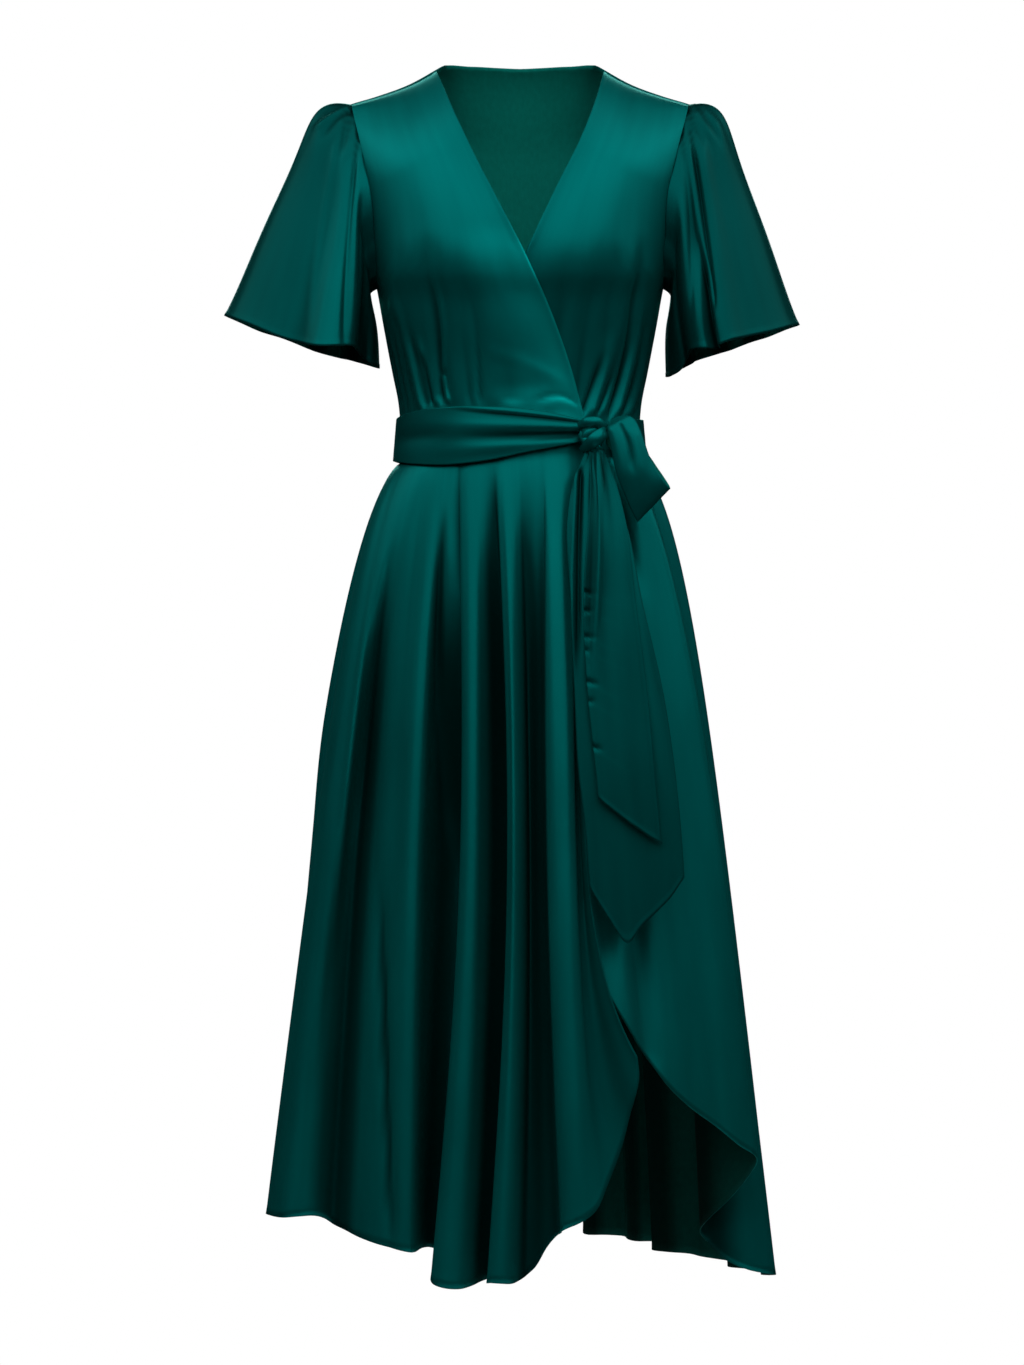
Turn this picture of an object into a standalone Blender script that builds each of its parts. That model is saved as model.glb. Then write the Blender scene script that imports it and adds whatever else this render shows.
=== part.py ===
"""A satin wrap midi dress, shown filled out with no wearer.

Metres, +Z up. The front faces -Y and the wearer's right side is at -X. The origin is
the point midway between the two shoulder seams, where the dress is held up.
"Right" and "left" in the names are the wearer's.
"""

import math

import bpy
import numpy as np

# ---------------------------------------------------------------- driving sizes
WALL = 0.0013              # thickness of the cloth
SEAM = 0.0003              # clear gap between two pieces at a seam
WAIST_Z = -0.365           # height of the waist seam
WAIST_HALF_WIDTH = 0.1245
WAIST_FRONT_DEPTH = 0.095
WAIST_BACK_DEPTH = 0.088
UNDERARM_Z = -0.211        # where the armhole closes into the side seam
TIP_X, TIP_Z = 0.1765, -0.018      # outer end of a shoulder seam
NECK_X, NECK_Z = 0.0880, 0.0170    # inner end of a shoulder seam
SHOULDER_ROUND = 0.100     # height over which the cloth rounds over the shoulder
SHOULDER_POWER = 0.65      # how full that rounding is
LAP_OFFSET = 0.0017        # how far a lapped front lies outside or inside the plain one
LAP_START_DEG, LAP_FULL_DEG = 78.0, 45.0   # where the lap begins and is complete
LAP_DROP = 0.08            # how far below the shoulder line the lap is complete
BUST_X, BUST_Z, BUST_SPREAD, BUST_FULLNESS = 0.074, -0.180, 0.052, 0.012
BODICE_SEAM = 0.7 * SEAM   # how far front and back bodice draw apart at their seams
SIDE_SEAM = 1.5 * SEAM     # the same for the side seams of the skirt
ARMHOLE_SEAM = 5 * SEAM    # how far outside the armhole edge the sleeve begins

# How the lines of a bodice front lean and gather.
YOKE_SHARE = 0.30          # share of the front's height with upright lines
SIDE_EASE = 4              # how late the back's top edge dips to the shoulder tip
GATHER_AT_SEAM = 0.3       # share of a gather's relief left right at the waist seam
GATHER_LOW, GATHER_HIGH = 0.015, 0.045     # heights over the waist where it swells

# How the skirt spreads between the sash and the hem.
FLARE_START = 0.034        # share of the skirt's length that the sash holds in
FLARE_SOFTEN = 0.003
FLARE_WIDTH_POWER = 0.52
FLARE_DEPTH_POWER = 0.80
FLICK_POWER = 7            # how late a free corner swings out

SATIN = (0.000, 0.072, 0.060)


def table(columns, *values):
    """A short table: one dictionary for each row, under the named columns."""
    names = columns.split()
    return [dict(zip(names, row)) for row in values]


# ---------------------------------------------------------------- body sections
# Half width and depths of the bodice at each height. Above the underarm the half
# width runs on past the armhole, which cuts the section at its own angle.
BODY = table(
    "z half_width front back",
    (-0.365, WAIST_HALF_WIDTH, WAIST_FRONT_DEPTH, WAIST_BACK_DEPTH),
    (-0.330, 0.1275, 0.0960, 0.0880),
    (-0.300, 0.1335, 0.0990, 0.0890),
    (-0.250, 0.1430, 0.1070, 0.0920),
    (-0.211, 0.1500, 0.1110, 0.0960),
    (-0.165, 0.1610, 0.1130, 0.0980),
    (-0.110, 0.1750, 0.1060, 0.0980),
    (-0.060, 0.1880, 0.0900, 0.0920),
    (-0.020, 0.1940, 0.0750, 0.0800),
    (0.030, 0.1960, 0.0600, 0.0740),
)

# Height of the shoulder line, running on up the side of the neck.
SHOULDER = table(
    "x z",
    (0.000, 0.060),
    (0.030, 0.053),
    (0.060, 0.036),
    (NECK_X, NECK_Z),
    (0.110, 0.0045),
    (0.147, -0.0095),
    (TIP_X, TIP_Z),
    (0.200, -0.026),
)

# The angle at which the armhole cuts the body section, from the centre line.
ARMHOLE = table(
    "z deg",
    (-0.211, 90.0),
    (-0.205, 81.0),
    (-0.191, 73.0),
    (-0.160, 67.5),
    (-0.139, 64.2),
    (-0.112, 61.8),
    (-0.086, 62.0),
    (-0.060, 62.4),
    (-0.018, 65.6),
)

# The V edge of each front, from the shoulder seam down to the waist seam.
NECK_EDGE_RIGHT = table(
    "z x",
    (-0.365, 0.0690),
    (-0.345, 0.0633),
    (-0.300, 0.0509),
    (-0.243, 0.0303),
    (-0.196, 0.0095),
    (-0.136, -0.0205),
    (-0.094, -0.0413),
    (-0.048, -0.0622),
    (NECK_Z, -NECK_X),
)
NECK_EDGE_LEFT = table(
    "z x",
    (-0.365, -0.0600),
    (-0.310, -0.0440),
    (-0.250, -0.0220),
    (-0.187, 0.0048),
    (-0.154, 0.0202),
    (-0.110, 0.0409),
    (-0.067, 0.0617),
    (-0.014, 0.0804),
    (NECK_Z, NECK_X),
)
BACK_NECK = table(
    "x z",
    (-NECK_X, NECK_Z),
    (-0.078, 0.0225),
    (-0.050, 0.0268),
    (0.000, 0.0275),
    (0.050, 0.0268),
    (0.078, 0.0225),
    (NECK_X, NECK_Z),
)

# Lines down each bodice piece. "top" and "waist" say how far across the piece the
# line is at its two ends; "gather" is how far it stands out (crest) or in (valley) at
# the waist, and "reach" the height at which that dies out.
BODICE_RIGHT = table(
    "top waist gather reach",
    (0.00, 0.000, 0.0000, -0.20),
    (0.05, 0.050, 0.0000, -0.20),
    (0.10, 0.090, 0.0016, -0.21),
    (0.14, 0.122, -0.0014, -0.21),
    (0.18, 0.155, 0.0020, -0.20),
    (0.22, 0.188, -0.0014, -0.22),
    (0.26, 0.220, 0.0018, -0.24),
    (0.30, 0.252, -0.0012, -0.25),
    (0.34, 0.285, 0.0022, -0.21),
    (0.38, 0.320, -0.0014, -0.22),
    (0.42, 0.352, 0.0018, -0.24),
    (0.46, 0.388, -0.0012, -0.23),
    (0.51, 0.425, 0.0024, -0.20),
    (0.56, 0.470, -0.0010, -0.20),
    (0.61, 0.520, 0.0018, -0.19),
    (0.67, 0.590, -0.0004, -0.20),
    (0.75, 0.680, 0.0006, -0.22),
    (0.84, 0.790, 0.0004, -0.25),
    (0.92, 0.900, 0.0000, -0.30),
    (1.00, 1.000, 0.0000, -0.30),
)
BODICE_LEFT = table(
    "top waist gather reach",
    (0.00, 0.000, 0.0000, -0.20),
    (0.07, 0.090, 0.0000, -0.20),
    (0.14, 0.170, 0.0010, -0.24),
    (0.21, 0.240, -0.0008, -0.24),
    (0.27, 0.290, 0.0018, -0.22),
    (0.32, 0.325, -0.0012, -0.22),
    (0.37, 0.360, 0.0020, -0.20),
    (0.42, 0.395, -0.0012, -0.21),
    (0.47, 0.430, 0.0020, -0.22),
    (0.52, 0.465, -0.0010, -0.21),
    (0.57, 0.500, 0.0016, -0.22),
    (0.63, 0.545, -0.0006, -0.24),
    (0.72, 0.640, 0.0004, -0.26),
    (0.82, 0.770, 0.0000, -0.30),
    (0.91, 0.890, 0.0000, -0.30),
    (1.00, 1.000, 0.0000, -0.30),
)
BACK_LINES = 17            # evenly spaced lines down the plain back

# ---------------------------------------------------------------- skirt fold lines
# One row for each crest or valley, in order round the panel: its angle at the waist
# (0 front, 90 the wearer's left, 180 back, -90 the wearer's right), its end at the
# hem, how far it bows on the way, and how much of hem_x is a late swing to the side.
SKIRT_RIGHT = table(
    "waist_deg hem_x hem_y hem_z bow_x bow_y flick_x",
    (-90.0, -0.2440, 0.030, -1.188, 0.000, 0.000, 0.00),
    (-82.0, -0.2640, -0.020, -1.176, 0.010, 0.000, 0.00),
    (-74.0, -0.2270, -0.075, -1.174, 0.010, 0.000, 0.00),
    (-67.0, -0.1800, -0.082, -1.166, 0.000, 0.004, 0.00),
    (-60.0, -0.1520, -0.100, -1.172, 0.000, 0.000, 0.00),
    (-54.0, -0.1350, -0.105, -1.182, 0.000, 0.000, 0.00),
    (-49.0, -0.1350, -0.140, -1.190, 0.002, 0.000, 0.00),
    (-43.0, -0.1160, -0.162, -1.198, 0.004, -0.004, 0.00),
    (-37.0, -0.0980, -0.140, -1.200, 0.006, 0.000, 0.00),
    (-33.5, -0.0880, -0.113, -1.198, 0.006, 0.008, 0.00),
    (-31.0, -0.0785, -0.120, -1.200, 0.008, 0.008, 0.00),
    (-28.0, -0.0905, -0.185, -1.226, 0.016, 0.000, 0.00),
    (-22.0, -0.0680, -0.215, -1.233, 0.012, -0.004, 0.00),
    (-16.5, -0.0495, -0.196, -1.233, 0.010, 0.000, 0.00),
    (-14.0, -0.0442, -0.167, -1.228, 0.010, 0.004, 0.00),
    (-12.0, -0.0390, -0.167, -1.226, 0.011, 0.004, 0.00),
    (-9.5, -0.0335, -0.194, -1.224, 0.012, -0.002, 0.00),
    (-4.0, -0.0150, -0.220, -1.225, 0.006, -0.010, 0.00),
    (1.5, 0.0040, -0.206, -1.222, 0.004, -0.008, 0.00),
    (6.0, 0.0170, -0.184, -1.211, 0.000, -0.006, 0.00),
    (11.5, 0.0330, -0.195, -1.184, 0.000, -0.012, 0.00),
    (17.0, 0.0550, -0.200, -1.165, -0.004, -0.012, 0.00),
    (21.5, 0.0740, -0.192, -1.155, -0.006, -0.010, 0.01),
    (25.5, 0.0850, -0.180, -1.132, -0.008, -0.010, 0.02),
    (29.0, 0.1020, -0.168, -1.090, -0.010, -0.012, 0.03),
    (31.5, 0.1100, -0.170, -1.056, -0.010, -0.012, 0.04),
    (33.5, 0.1190, -0.176, -1.023, -0.008, -0.012, 0.05),
    (35.5, 0.1175, -0.178, -1.000, -0.006, -0.012, 0.05),
)
SKIRT_LEFT = table(
    "waist_deg hem_x hem_y hem_z bow_x bow_y flick_x",
    (90.0, 0.2560, 0.040, -1.252, 0.000, 0.000, 0.00),
    (84.0, 0.2680, -0.005, -1.245, -0.008, 0.000, 0.00),
    (79.0, 0.2400, -0.022, -1.238, -0.006, 0.000, 0.00),
    (75.0, 0.2140, -0.018, -1.227, 0.000, 0.000, 0.00),
    (71.5, 0.1980, -0.009, -1.212, 0.000, 0.004, 0.00),
    (68.5, 0.1885, -0.016, -1.199, 0.000, 0.004, 0.00),
    (65.5, 0.1950, -0.038, -1.183, 0.000, 0.000, 0.00),
    (62.0, 0.2180, -0.060, -1.157, 0.000, -0.004, 0.00),
    (58.5, 0.2370, -0.078, -1.130, 0.000, -0.006, 0.00),
    (54.5, 0.2430, -0.095, -1.112, 0.000, -0.008, 0.00),
    (49.0, 0.2240, -0.112, -1.097, 0.000, -0.002, 0.00),
    (43.5, 0.1980, -0.124, -1.075, 0.000, 0.004, 0.00),
    (37.0, 0.1720, -0.135, -1.055, -0.002, 0.010, 0.00),
    (30.0, 0.1480, -0.143, -1.031, -0.004, 0.015, 0.00),
    (22.0, 0.1300, -0.147, -1.004, -0.006, 0.018, 0.00),
    (13.0, 0.1180, -0.148, -0.980, -0.008, 0.019, 0.00),
    (3.0, 0.1080, -0.147, -0.955, -0.008, 0.019, 0.00),
    (-8.0, 0.0980, -0.145, -0.930, -0.008, 0.019, 0.00),
    (-19.0, 0.0870, -0.143, -0.900, -0.008, 0.018, 0.00),
    (-28.5, 0.0760, -0.141, -0.870, -0.008, 0.017, 0.00),
)
SKIRT_BACK = table(
    "waist_deg hem_x hem_y hem_z bow_x bow_y flick_x",
    (90.0, 0.2560, 0.040, -1.252, 0.000, 0.000, 0.00),
    (97.0, 0.2680, 0.070, -1.252, -0.004, 0.000, 0.00),
    (104.0, 0.2020, 0.082, -1.254, 0.000, 0.000, 0.00),
    (111.0, 0.2260, 0.142, -1.250, 0.000, 0.000, 0.00),
    (118.0, 0.1720, 0.128, -1.246, 0.000, 0.000, 0.00),
    (126.0, 0.1780, 0.196, -1.240, 0.000, 0.000, 0.00),
    (134.0, 0.1290, 0.164, -1.236, 0.000, 0.000, 0.00),
    (142.0, 0.1200, 0.224, -1.231, 0.000, 0.000, 0.00),
    (150.0, 0.0780, 0.188, -1.229, 0.000, 0.000, 0.00),
    (159.0, 0.0600, 0.240, -1.232, 0.000, 0.000, 0.00),
    (167.0, 0.0280, 0.200, -1.228, 0.000, 0.000, 0.00),
    (175.0, 0.0050, 0.246, -1.230, 0.000, 0.000, 0.00),
    (183.0, -0.0270, 0.202, -1.226, 0.000, 0.000, 0.00),
    (191.0, -0.0520, 0.238, -1.232, 0.000, 0.000, 0.00),
    (199.0, -0.0800, 0.186, -1.230, 0.000, 0.000, 0.00),
    (208.0, -0.1130, 0.222, -1.229, 0.000, 0.000, 0.00),
    (217.0, -0.1280, 0.166, -1.226, 0.000, 0.000, 0.00),
    (226.0, -0.1720, 0.190, -1.218, 0.000, 0.000, 0.00),
    (235.0, -0.1780, 0.126, -1.210, 0.000, 0.000, 0.00),
    (244.0, -0.2200, 0.144, -1.205, 0.000, 0.000, 0.00),
    (252.5, -0.2160, 0.090, -1.200, 0.000, 0.000, 0.00),
    (261.0, -0.2660, 0.076, -1.192, -0.006, 0.000, 0.00),
    (270.0, -0.2440, 0.030, -1.188, 0.000, 0.000, 0.00),
)

# ---------------------------------------------------------------- sleeve fold lines
# One row for each crest or valley round the sleeve: its angle round the armhole
# (0 the shoulder, 90 front, 180 underarm, 270 back), its end at the cuff, and how
# far the gathered cap puffs out and up on the way. x is away from the body.
SLEEVE_RIGHT = table(
    "armhole_deg cuff_x cuff_y cuff_z puff",
    (0.0, 0.3110, 0.016, -0.2380, 0.027),
    (16.0, 0.3020, -0.018, -0.2430, 0.024),
    (30.0, 0.2760, -0.046, -0.2550, 0.026),
    (46.0, 0.2500, -0.070, -0.2670, 0.018),
    (60.0, 0.2240, -0.084, -0.2750, 0.016),
    (72.0, 0.2120, -0.050, -0.2790, 0.010),
    (86.0, 0.1920, -0.064, -0.2790, 0.010),
    (100.0, 0.1740, -0.066, -0.2780, 0.010),
    (114.0, 0.1690, -0.038, -0.2800, 0.010),
    (132.0, 0.1620, -0.030, -0.2870, 0.010),
    (152.0, 0.1540, -0.024, -0.2920, 0.010),
    (180.0, 0.1480, 0.006, -0.2940, 0.010),
    (206.0, 0.1560, 0.034, -0.2900, 0.010),
    (228.0, 0.1780, 0.030, -0.2840, 0.010),
    (246.0, 0.1920, 0.070, -0.2780, 0.010),
    (264.0, 0.2160, 0.066, -0.2720, 0.010),
    (282.0, 0.2280, 0.088, -0.2660, 0.010),
    (300.0, 0.2520, 0.062, -0.2580, 0.010),
    (320.0, 0.2760, 0.070, -0.2500, 0.018),
    (342.0, 0.2980, 0.044, -0.2420, 0.022),
)
SLEEVE_LEFT = table(
    "armhole_deg cuff_x cuff_y cuff_z puff",
    (0.0, 0.2940, 0.014, -0.2480, 0.027),
    (15.0, 0.2840, -0.020, -0.2520, 0.024),
    (28.0, 0.2620, -0.046, -0.2600, 0.026),
    (42.0, 0.2360, -0.066, -0.2670, 0.018),
    (56.0, 0.2150, -0.084, -0.2730, 0.018),
    (66.0, 0.2050, -0.078, -0.2770, 0.010),
    (78.0, 0.2060, -0.046, -0.2790, 0.010),
    (92.0, 0.1900, -0.052, -0.2800, 0.010),
    (106.0, 0.1780, -0.062, -0.2800, 0.010),
    (122.0, 0.1740, -0.040, -0.2870, 0.010),
    (140.0, 0.1680, -0.034, -0.2980, 0.010),
    (160.0, 0.1570, -0.014, -0.3040, 0.010),
    (182.0, 0.1540, 0.012, -0.3020, 0.010),
    (206.0, 0.1640, 0.036, -0.2960, 0.010),
    (228.0, 0.1800, 0.034, -0.2880, 0.010),
    (246.0, 0.1900, 0.072, -0.2800, 0.010),
    (266.0, 0.2140, 0.066, -0.2730, 0.010),
    (284.0, 0.2260, 0.086, -0.2680, 0.010),
    (302.0, 0.2460, 0.060, -0.2620, 0.010),
    (322.0, 0.2640, 0.066, -0.2560, 0.018),
    (342.0, 0.2830, 0.040, -0.2500, 0.022),
)
PUFF_PEAK = 0.14           # share of the sleeve's length where the puff is fullest
PUFF_UP = 0.62             # how much of the puff goes up, the rest going out

# ---------------------------------------------------------------- sash
# The strip round the waist: its upper and lower edge and how far it stands off the
# waist at each, going round from the knot by the wearer's right and the back.
SASH = table(
    "deg top bottom out_top out_bottom",
    (34.0, -0.3590, -0.3800, 0.0078, 0.0086),
    (28.0, -0.3540, -0.3860, 0.0072, 0.0086),
    (18.0, -0.3490, -0.3925, 0.0064, 0.0088),
    (4.0, -0.3440, -0.3975, 0.0062, 0.0088),
    (-14.0, -0.3415, -0.4010, 0.0064, 0.0088),
    (-34.0, -0.3410, -0.4015, 0.0066, 0.0090),
    (-54.0, -0.3430, -0.3985, 0.0066, 0.0090),
    (-74.0, -0.3470, -0.3945, 0.0060, 0.0088),
    (-90.0, -0.3490, -0.3920, 0.0050, 0.0086),
    (-120.0, -0.3470, -0.3940, 0.0048, 0.0082),
    (-150.0, -0.3450, -0.3960, 0.0048, 0.0078),
    (-180.0, -0.3440, -0.3970, 0.0048, 0.0076),
    (-210.0, -0.3450, -0.3960, 0.0048, 0.0078),
    (-240.0, -0.3470, -0.3940, 0.0048, 0.0082),
    (-270.0, -0.3490, -0.3920, 0.0048, 0.0086),
    (-300.0, -0.3520, -0.3890, 0.0050, 0.0086),
    (-314.0, -0.3560, -0.3850, 0.0056, 0.0082),
)
SASH_SIDE_DEG = -90.0      # where the front stretch is counted to end
SASH_STEP_DEG = 10.5       # turn between one section and the next
PLEAT_START_DEG, PLEAT_FULL_DEG = -70.0, 30.0      # where the pleats deepen to the knot
PLEAT_AWAY = 0.35          # share of the pleats' relief left away from the knot
# Pleats along the strip: height across it (0 upper edge, 1 lower), and how far each
# crest or valley stands out at the knot.
SASH_PLEATS = table(
    "across relief",
    (0.00, 0.0000),
    (0.12, 0.0022),
    (0.26, 0.0002),
    (0.42, 0.0028),
    (0.58, 0.0004),
    (0.74, 0.0024),
    (0.88, 0.0004),
    (1.00, 0.0010),
)

KNOT = (0.0745, -0.1019, -0.3700)          # centre of the knot
KNOT_SIZE = (0.0135, 0.0115, 0.0170)       # its half width, half depth, half height
KNOT_PLEAT = 0.07          # relief of its wrapped pleats, as a share of its size
KNOT_TURNS, KNOT_WAVES = 3, 6              # how the pleats wind round and across it

# Stretches of the strip that hang free. Each row is a section square to its run:
# its middle, its half width, and the direction of its width in the front view.
LOOP = table(
    "x y z half_width turn_deg crown",
    (0.0882, -0.1035, -0.3650, 0.0055, 0.0, 0.0000),
    (0.0950, -0.1110, -0.3590, 0.0095, 45.0, 0.0020),
    (0.1020, -0.1170, -0.3600, 0.0140, 66.0, 0.0040),
    (0.1075, -0.1210, -0.3750, 0.0165, 68.0, 0.0050),
    (0.1158, -0.1235, -0.4050, 0.0185, 64.0, 0.0050),
    (0.1270, -0.1230, -0.4290, 0.0215, 54.0, 0.0030),
    (0.1355, -0.1190, -0.4430, 0.0237, 45.0, 0.0000),
    (0.1345, -0.1140, -0.4385, 0.0235, 45.0, -0.0020),
    (0.1250, -0.1105, -0.4200, 0.0210, 50.0, -0.0030),
    (0.1130, -0.1070, -0.3950, 0.0160, 55.0, -0.0030),
    (0.1000, -0.1010, -0.3800, 0.0100, 40.0, -0.0010),
    (0.0880, -0.0978, -0.3745, 0.0055, 0.0, 0.0000),
)
LOOP_ACROSS = (-1.0, -0.6, -0.2, 0.2, 0.6, 1.0)    # points across one section
TAIL_LONG_TOP, TAIL_SHORT_TOP = -0.3878, -0.3860   # where the tails leave the knot
TAIL_FOLD_SHARE = 0.15     # share of a tail's length over which its folds open out
TAIL_LONG_EDGES = table(
    "z left right y",
    (-0.3900, 0.0660, 0.0860, -0.1010),
    (-0.4200, 0.0540, 0.0920, -0.1120),
    (-0.4585, 0.0480, 0.1060, -0.1235),
    (-0.5400, 0.0506, 0.1230, -0.1400),
    (-0.6320, 0.0545, 0.1440, -0.1520),
    (-0.7130, 0.0584, 0.1560, -0.1620),
    (-0.7630, 0.0640, 0.1610, -0.1670),
    (-0.8240, 0.0690, 0.1650, -0.1720),
    (-0.8900, 0.0740, 0.1660, -0.1760),
)
TAIL_LONG_LINES = table(
    "across bottom fold",
    (0.00, -0.8300, 0.0000),
    (0.10, -0.8480, -0.0030),
    (0.22, -0.8680, 0.0020),
    (0.36, -0.8860, -0.0020),
    (0.52, -0.8700, 0.0030),
    (0.68, -0.8560, -0.0010),
    (0.85, -0.8400, -0.0040),
    (1.00, -0.8200, 0.0010),
)
TAIL_SHORT_EDGES = table(
    "z left right y",
    (-0.3860, 0.0690, 0.0850, -0.1060),
    (-0.4200, 0.0690, 0.0990, -0.1220),
    (-0.4587, 0.0660, 0.1100, -0.1350),
    (-0.5405, 0.0640, 0.1166, -0.1500),
    (-0.6420, 0.0680, 0.1290, -0.1640),
    (-0.7126, 0.0754, 0.1350, -0.1730),
    (-0.7900, 0.0830, 0.1420, -0.1800),
)
TAIL_SHORT_LINES = table(
    "across bottom fold",
    (0.00, -0.7400, 0.0000),
    (0.14, -0.7480, -0.0040),
    (0.30, -0.7560, 0.0010),
    (0.46, -0.7640, -0.0060),
    (0.62, -0.7710, 0.0010),
    (0.80, -0.7790, -0.0010),
    (1.00, -0.7860, 0.0020),
)

# ---------------------------------------------------------------- sampling
BODICE_HEIGHTS = (0.0, 0.02, 0.05, 0.09, 0.15, 0.23, 0.33, 0.44, 0.56, 0.68, 0.79, 0.90, 1.0)
SKIRT_HEIGHTS = (0.0, 0.034, 0.06, 0.10, 0.16, 0.24, 0.34, 0.46, 0.60, 0.74, 0.87, 1.0)
SLEEVE_HEIGHTS = (0.0, 0.06, 0.14, 0.25, 0.42, 0.62, 0.82, 1.0)
TAIL_HEIGHTS = (0.0, 0.04, 0.09, 0.15, 0.25, 0.40, 0.55, 0.70, 0.85, 1.0)
SKIRT_SPAN_STEPS = 2       # steps between one fold line and the next
SLEEVE_SPAN_STEPS = 2


# ---------------------------------------------------------------- curves and lofts
def column(rows, name):
    return np.array([row[name] for row in rows], dtype=float)


def smooth(rows, key, name, at):
    """A smooth curve through one column of a table, read at the given keys."""
    order = np.argsort(column(rows, key))
    keys = column(rows, key)[order]
    values = column(rows, name)[order]
    slopes = np.gradient(values, keys)
    at = np.clip(np.asarray(at, dtype=float), keys[0], keys[-1])
    i = np.clip(np.searchsorted(keys, at, side="right") - 1, 0, len(keys) - 2)
    step = keys[i + 1] - keys[i]
    t = (at - keys[i]) / step
    return (
        values[i] * (1 + 2 * t) * (1 - t) ** 2
        + slopes[i] * step * t * (1 - t) ** 2
        + values[i + 1] * t**2 * (3 - 2 * t)
        - slopes[i + 1] * step * t**2 * (1 - t)
    )


def ease(low, high, value):
    """0 below low, 1 above high, with a soft start and end."""
    t = np.clip((np.asarray(value, dtype=float) - low) / (high - low), 0.0, 1.0)
    return t * t * (3 - 2 * t)


def across(lines, steps, closed=False, before=None, after=None):
    """Fills in between neighbouring lines with a rounded curve at every height.

    before and after are the next lines of the pieces sewn on, so that the curve runs
    on smoothly over the seam.
    """
    lines = np.asarray(lines, dtype=float)
    count = len(lines)
    if closed:
        padded = np.concatenate([lines[-1:], lines, lines[:2]])
        spans = count
    else:
        first = 2 * lines[0] - lines[1] if before is None else before
        last = 2 * lines[-1] - lines[-2] if after is None else after
        padded = np.concatenate([[first], lines, [last]])
        spans = count - 1
    columns = []
    for span in range(spans):
        p0, p1, p2, p3 = padded[span : span + 4]
        k0 = np.sqrt(np.linalg.norm(p1 - p0, axis=-1, keepdims=True)) + 1e-4
        k1 = np.sqrt(np.linalg.norm(p2 - p1, axis=-1, keepdims=True)) + 1e-4
        k2 = np.sqrt(np.linalg.norm(p3 - p2, axis=-1, keepdims=True)) + 1e-4
        m1 = (p1 - p0) / k0 - (p2 - p0) / (k0 + k1) + (p2 - p1) / k1
        m2 = (p2 - p1) / k1 - (p3 - p1) / (k1 + k2) + (p3 - p2) / k2
        for step in range(steps):
            t = step / steps
            columns.append(
                p1 * (1 + 2 * t) * (1 - t) ** 2
                + m1 * k1 * t * (1 - t) ** 2
                + p2 * t**2 * (3 - 2 * t)
                - m2 * k1 * t**2 * (1 - t)
            )
    if not closed:
        columns.append(padded[-2])
    return np.array(columns)


# ---------------------------------------------------------------- body surface
def lap_offset(deg, layer):
    """How far a front lies off the plain body: the right laps over the left."""
    if layer == "over":
        return LAP_OFFSET * ease(-LAP_START_DEG, -LAP_FULL_DEG, deg)
    if layer == "under":
        return -LAP_OFFSET * (1.0 - ease(LAP_FULL_DEG, LAP_START_DEG, deg))
    return 0.0 * np.asarray(deg, dtype=float)


def body_point(deg, z, layer):
    """A point of the body surface at an angle from the front centre and a height."""
    deg = np.asarray(deg, dtype=float)
    z = np.asarray(z, dtype=float)
    half = smooth(BODY, "z", "half_width", z)
    side = "back" if layer == "back" else "front"
    depth = smooth(BODY, "z", side, z)
    angle = np.radians(deg)
    x = half * np.sin(angle)
    below = smooth(SHOULDER, "x", "z", np.abs(x)) - z
    drop = np.clip(below / SHOULDER_ROUND, 0.0, 1.0)
    rounding = (1.0 - (1.0 - drop) ** 2) ** SHOULDER_POWER
    y = depth * np.cos(angle) * rounding
    if side == "front":
        apart = (np.abs(x) - BUST_X) ** 2 + (z - BUST_Z) ** 2
        y = -y - BUST_FULLNESS * np.exp(-apart / (2 * BUST_SPREAD**2)) * rounding
    offset = lap_offset(deg, layer) * ease(0.0, LAP_DROP, below)
    x = x + offset * np.sin(angle)
    y = y - offset * np.cos(angle)
    return np.stack(np.broadcast_arrays(x, y, z), axis=-1)


def waist_point(deg, layer):
    """A point of the waist seam."""
    angle = math.radians(deg)
    depth = WAIST_FRONT_DEPTH if math.cos(angle) >= 0 else WAIST_BACK_DEPTH
    offset = float(lap_offset(deg, layer))
    return np.array([
        (WAIST_HALF_WIDTH + offset) * math.sin(angle),
        -(depth + offset) * math.cos(angle),
        WAIST_Z - SEAM / 2,
    ])


# ---------------------------------------------------------------- bodice
def bodice_front(lines, neck_edge, layer):
    """One front: rows run from the armhole or side seam to the V edge."""
    sign = -1.0 if layer == "over" else 1.0
    v = np.array(BODICE_HEIGHTS)
    low = WAIST_Z + SEAM / 2
    side_z = TIP_Z + (low - TIP_Z) * v
    neck_z = NECK_Z + (low - NECK_Z) * v
    side_deg = sign * smooth(ARMHOLE, "z", "deg", side_z)
    neck_x = smooth(neck_edge, "z", "x", neck_z)
    half = smooth(BODY, "z", "half_width", neck_z)
    neck_deg = np.degrees(np.arcsin(neck_x / half))
    paths = []
    for line in lines:
        lean = ease(YOKE_SHARE, 1.0, v)
        share = line["top"] + (line["waist"] - line["top"]) * lean
        deg = side_deg + (neck_deg - side_deg) * share
        z = side_z + (neck_z - side_z) * share
        top_x = abs(half[0] * math.sin(math.radians(deg[0])))
        lift = float(smooth(SHOULDER, "x", "z", top_x)) - z[0]
        z = z + lift * (1.0 - ease(0.0, YOKE_SHARE, v))
        points = body_point(deg, z, layer)
        swell = ease(low + GATHER_LOW, low + GATHER_HIGH, z)
        held = GATHER_AT_SEAM + (1.0 - GATHER_AT_SEAM) * swell
        fade = 1.0 - ease(low + GATHER_HIGH, line["reach"], z)
        bulge = line["gather"] * held * fade
        angle = np.radians(deg)
        points[:, 0] += bulge * np.sin(angle)
        points[:, 1] -= bulge * np.cos(angle)
        paths.append(points)
    paths = np.array(paths)
    paths[..., 1] -= BODICE_SEAM
    return paths


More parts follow.
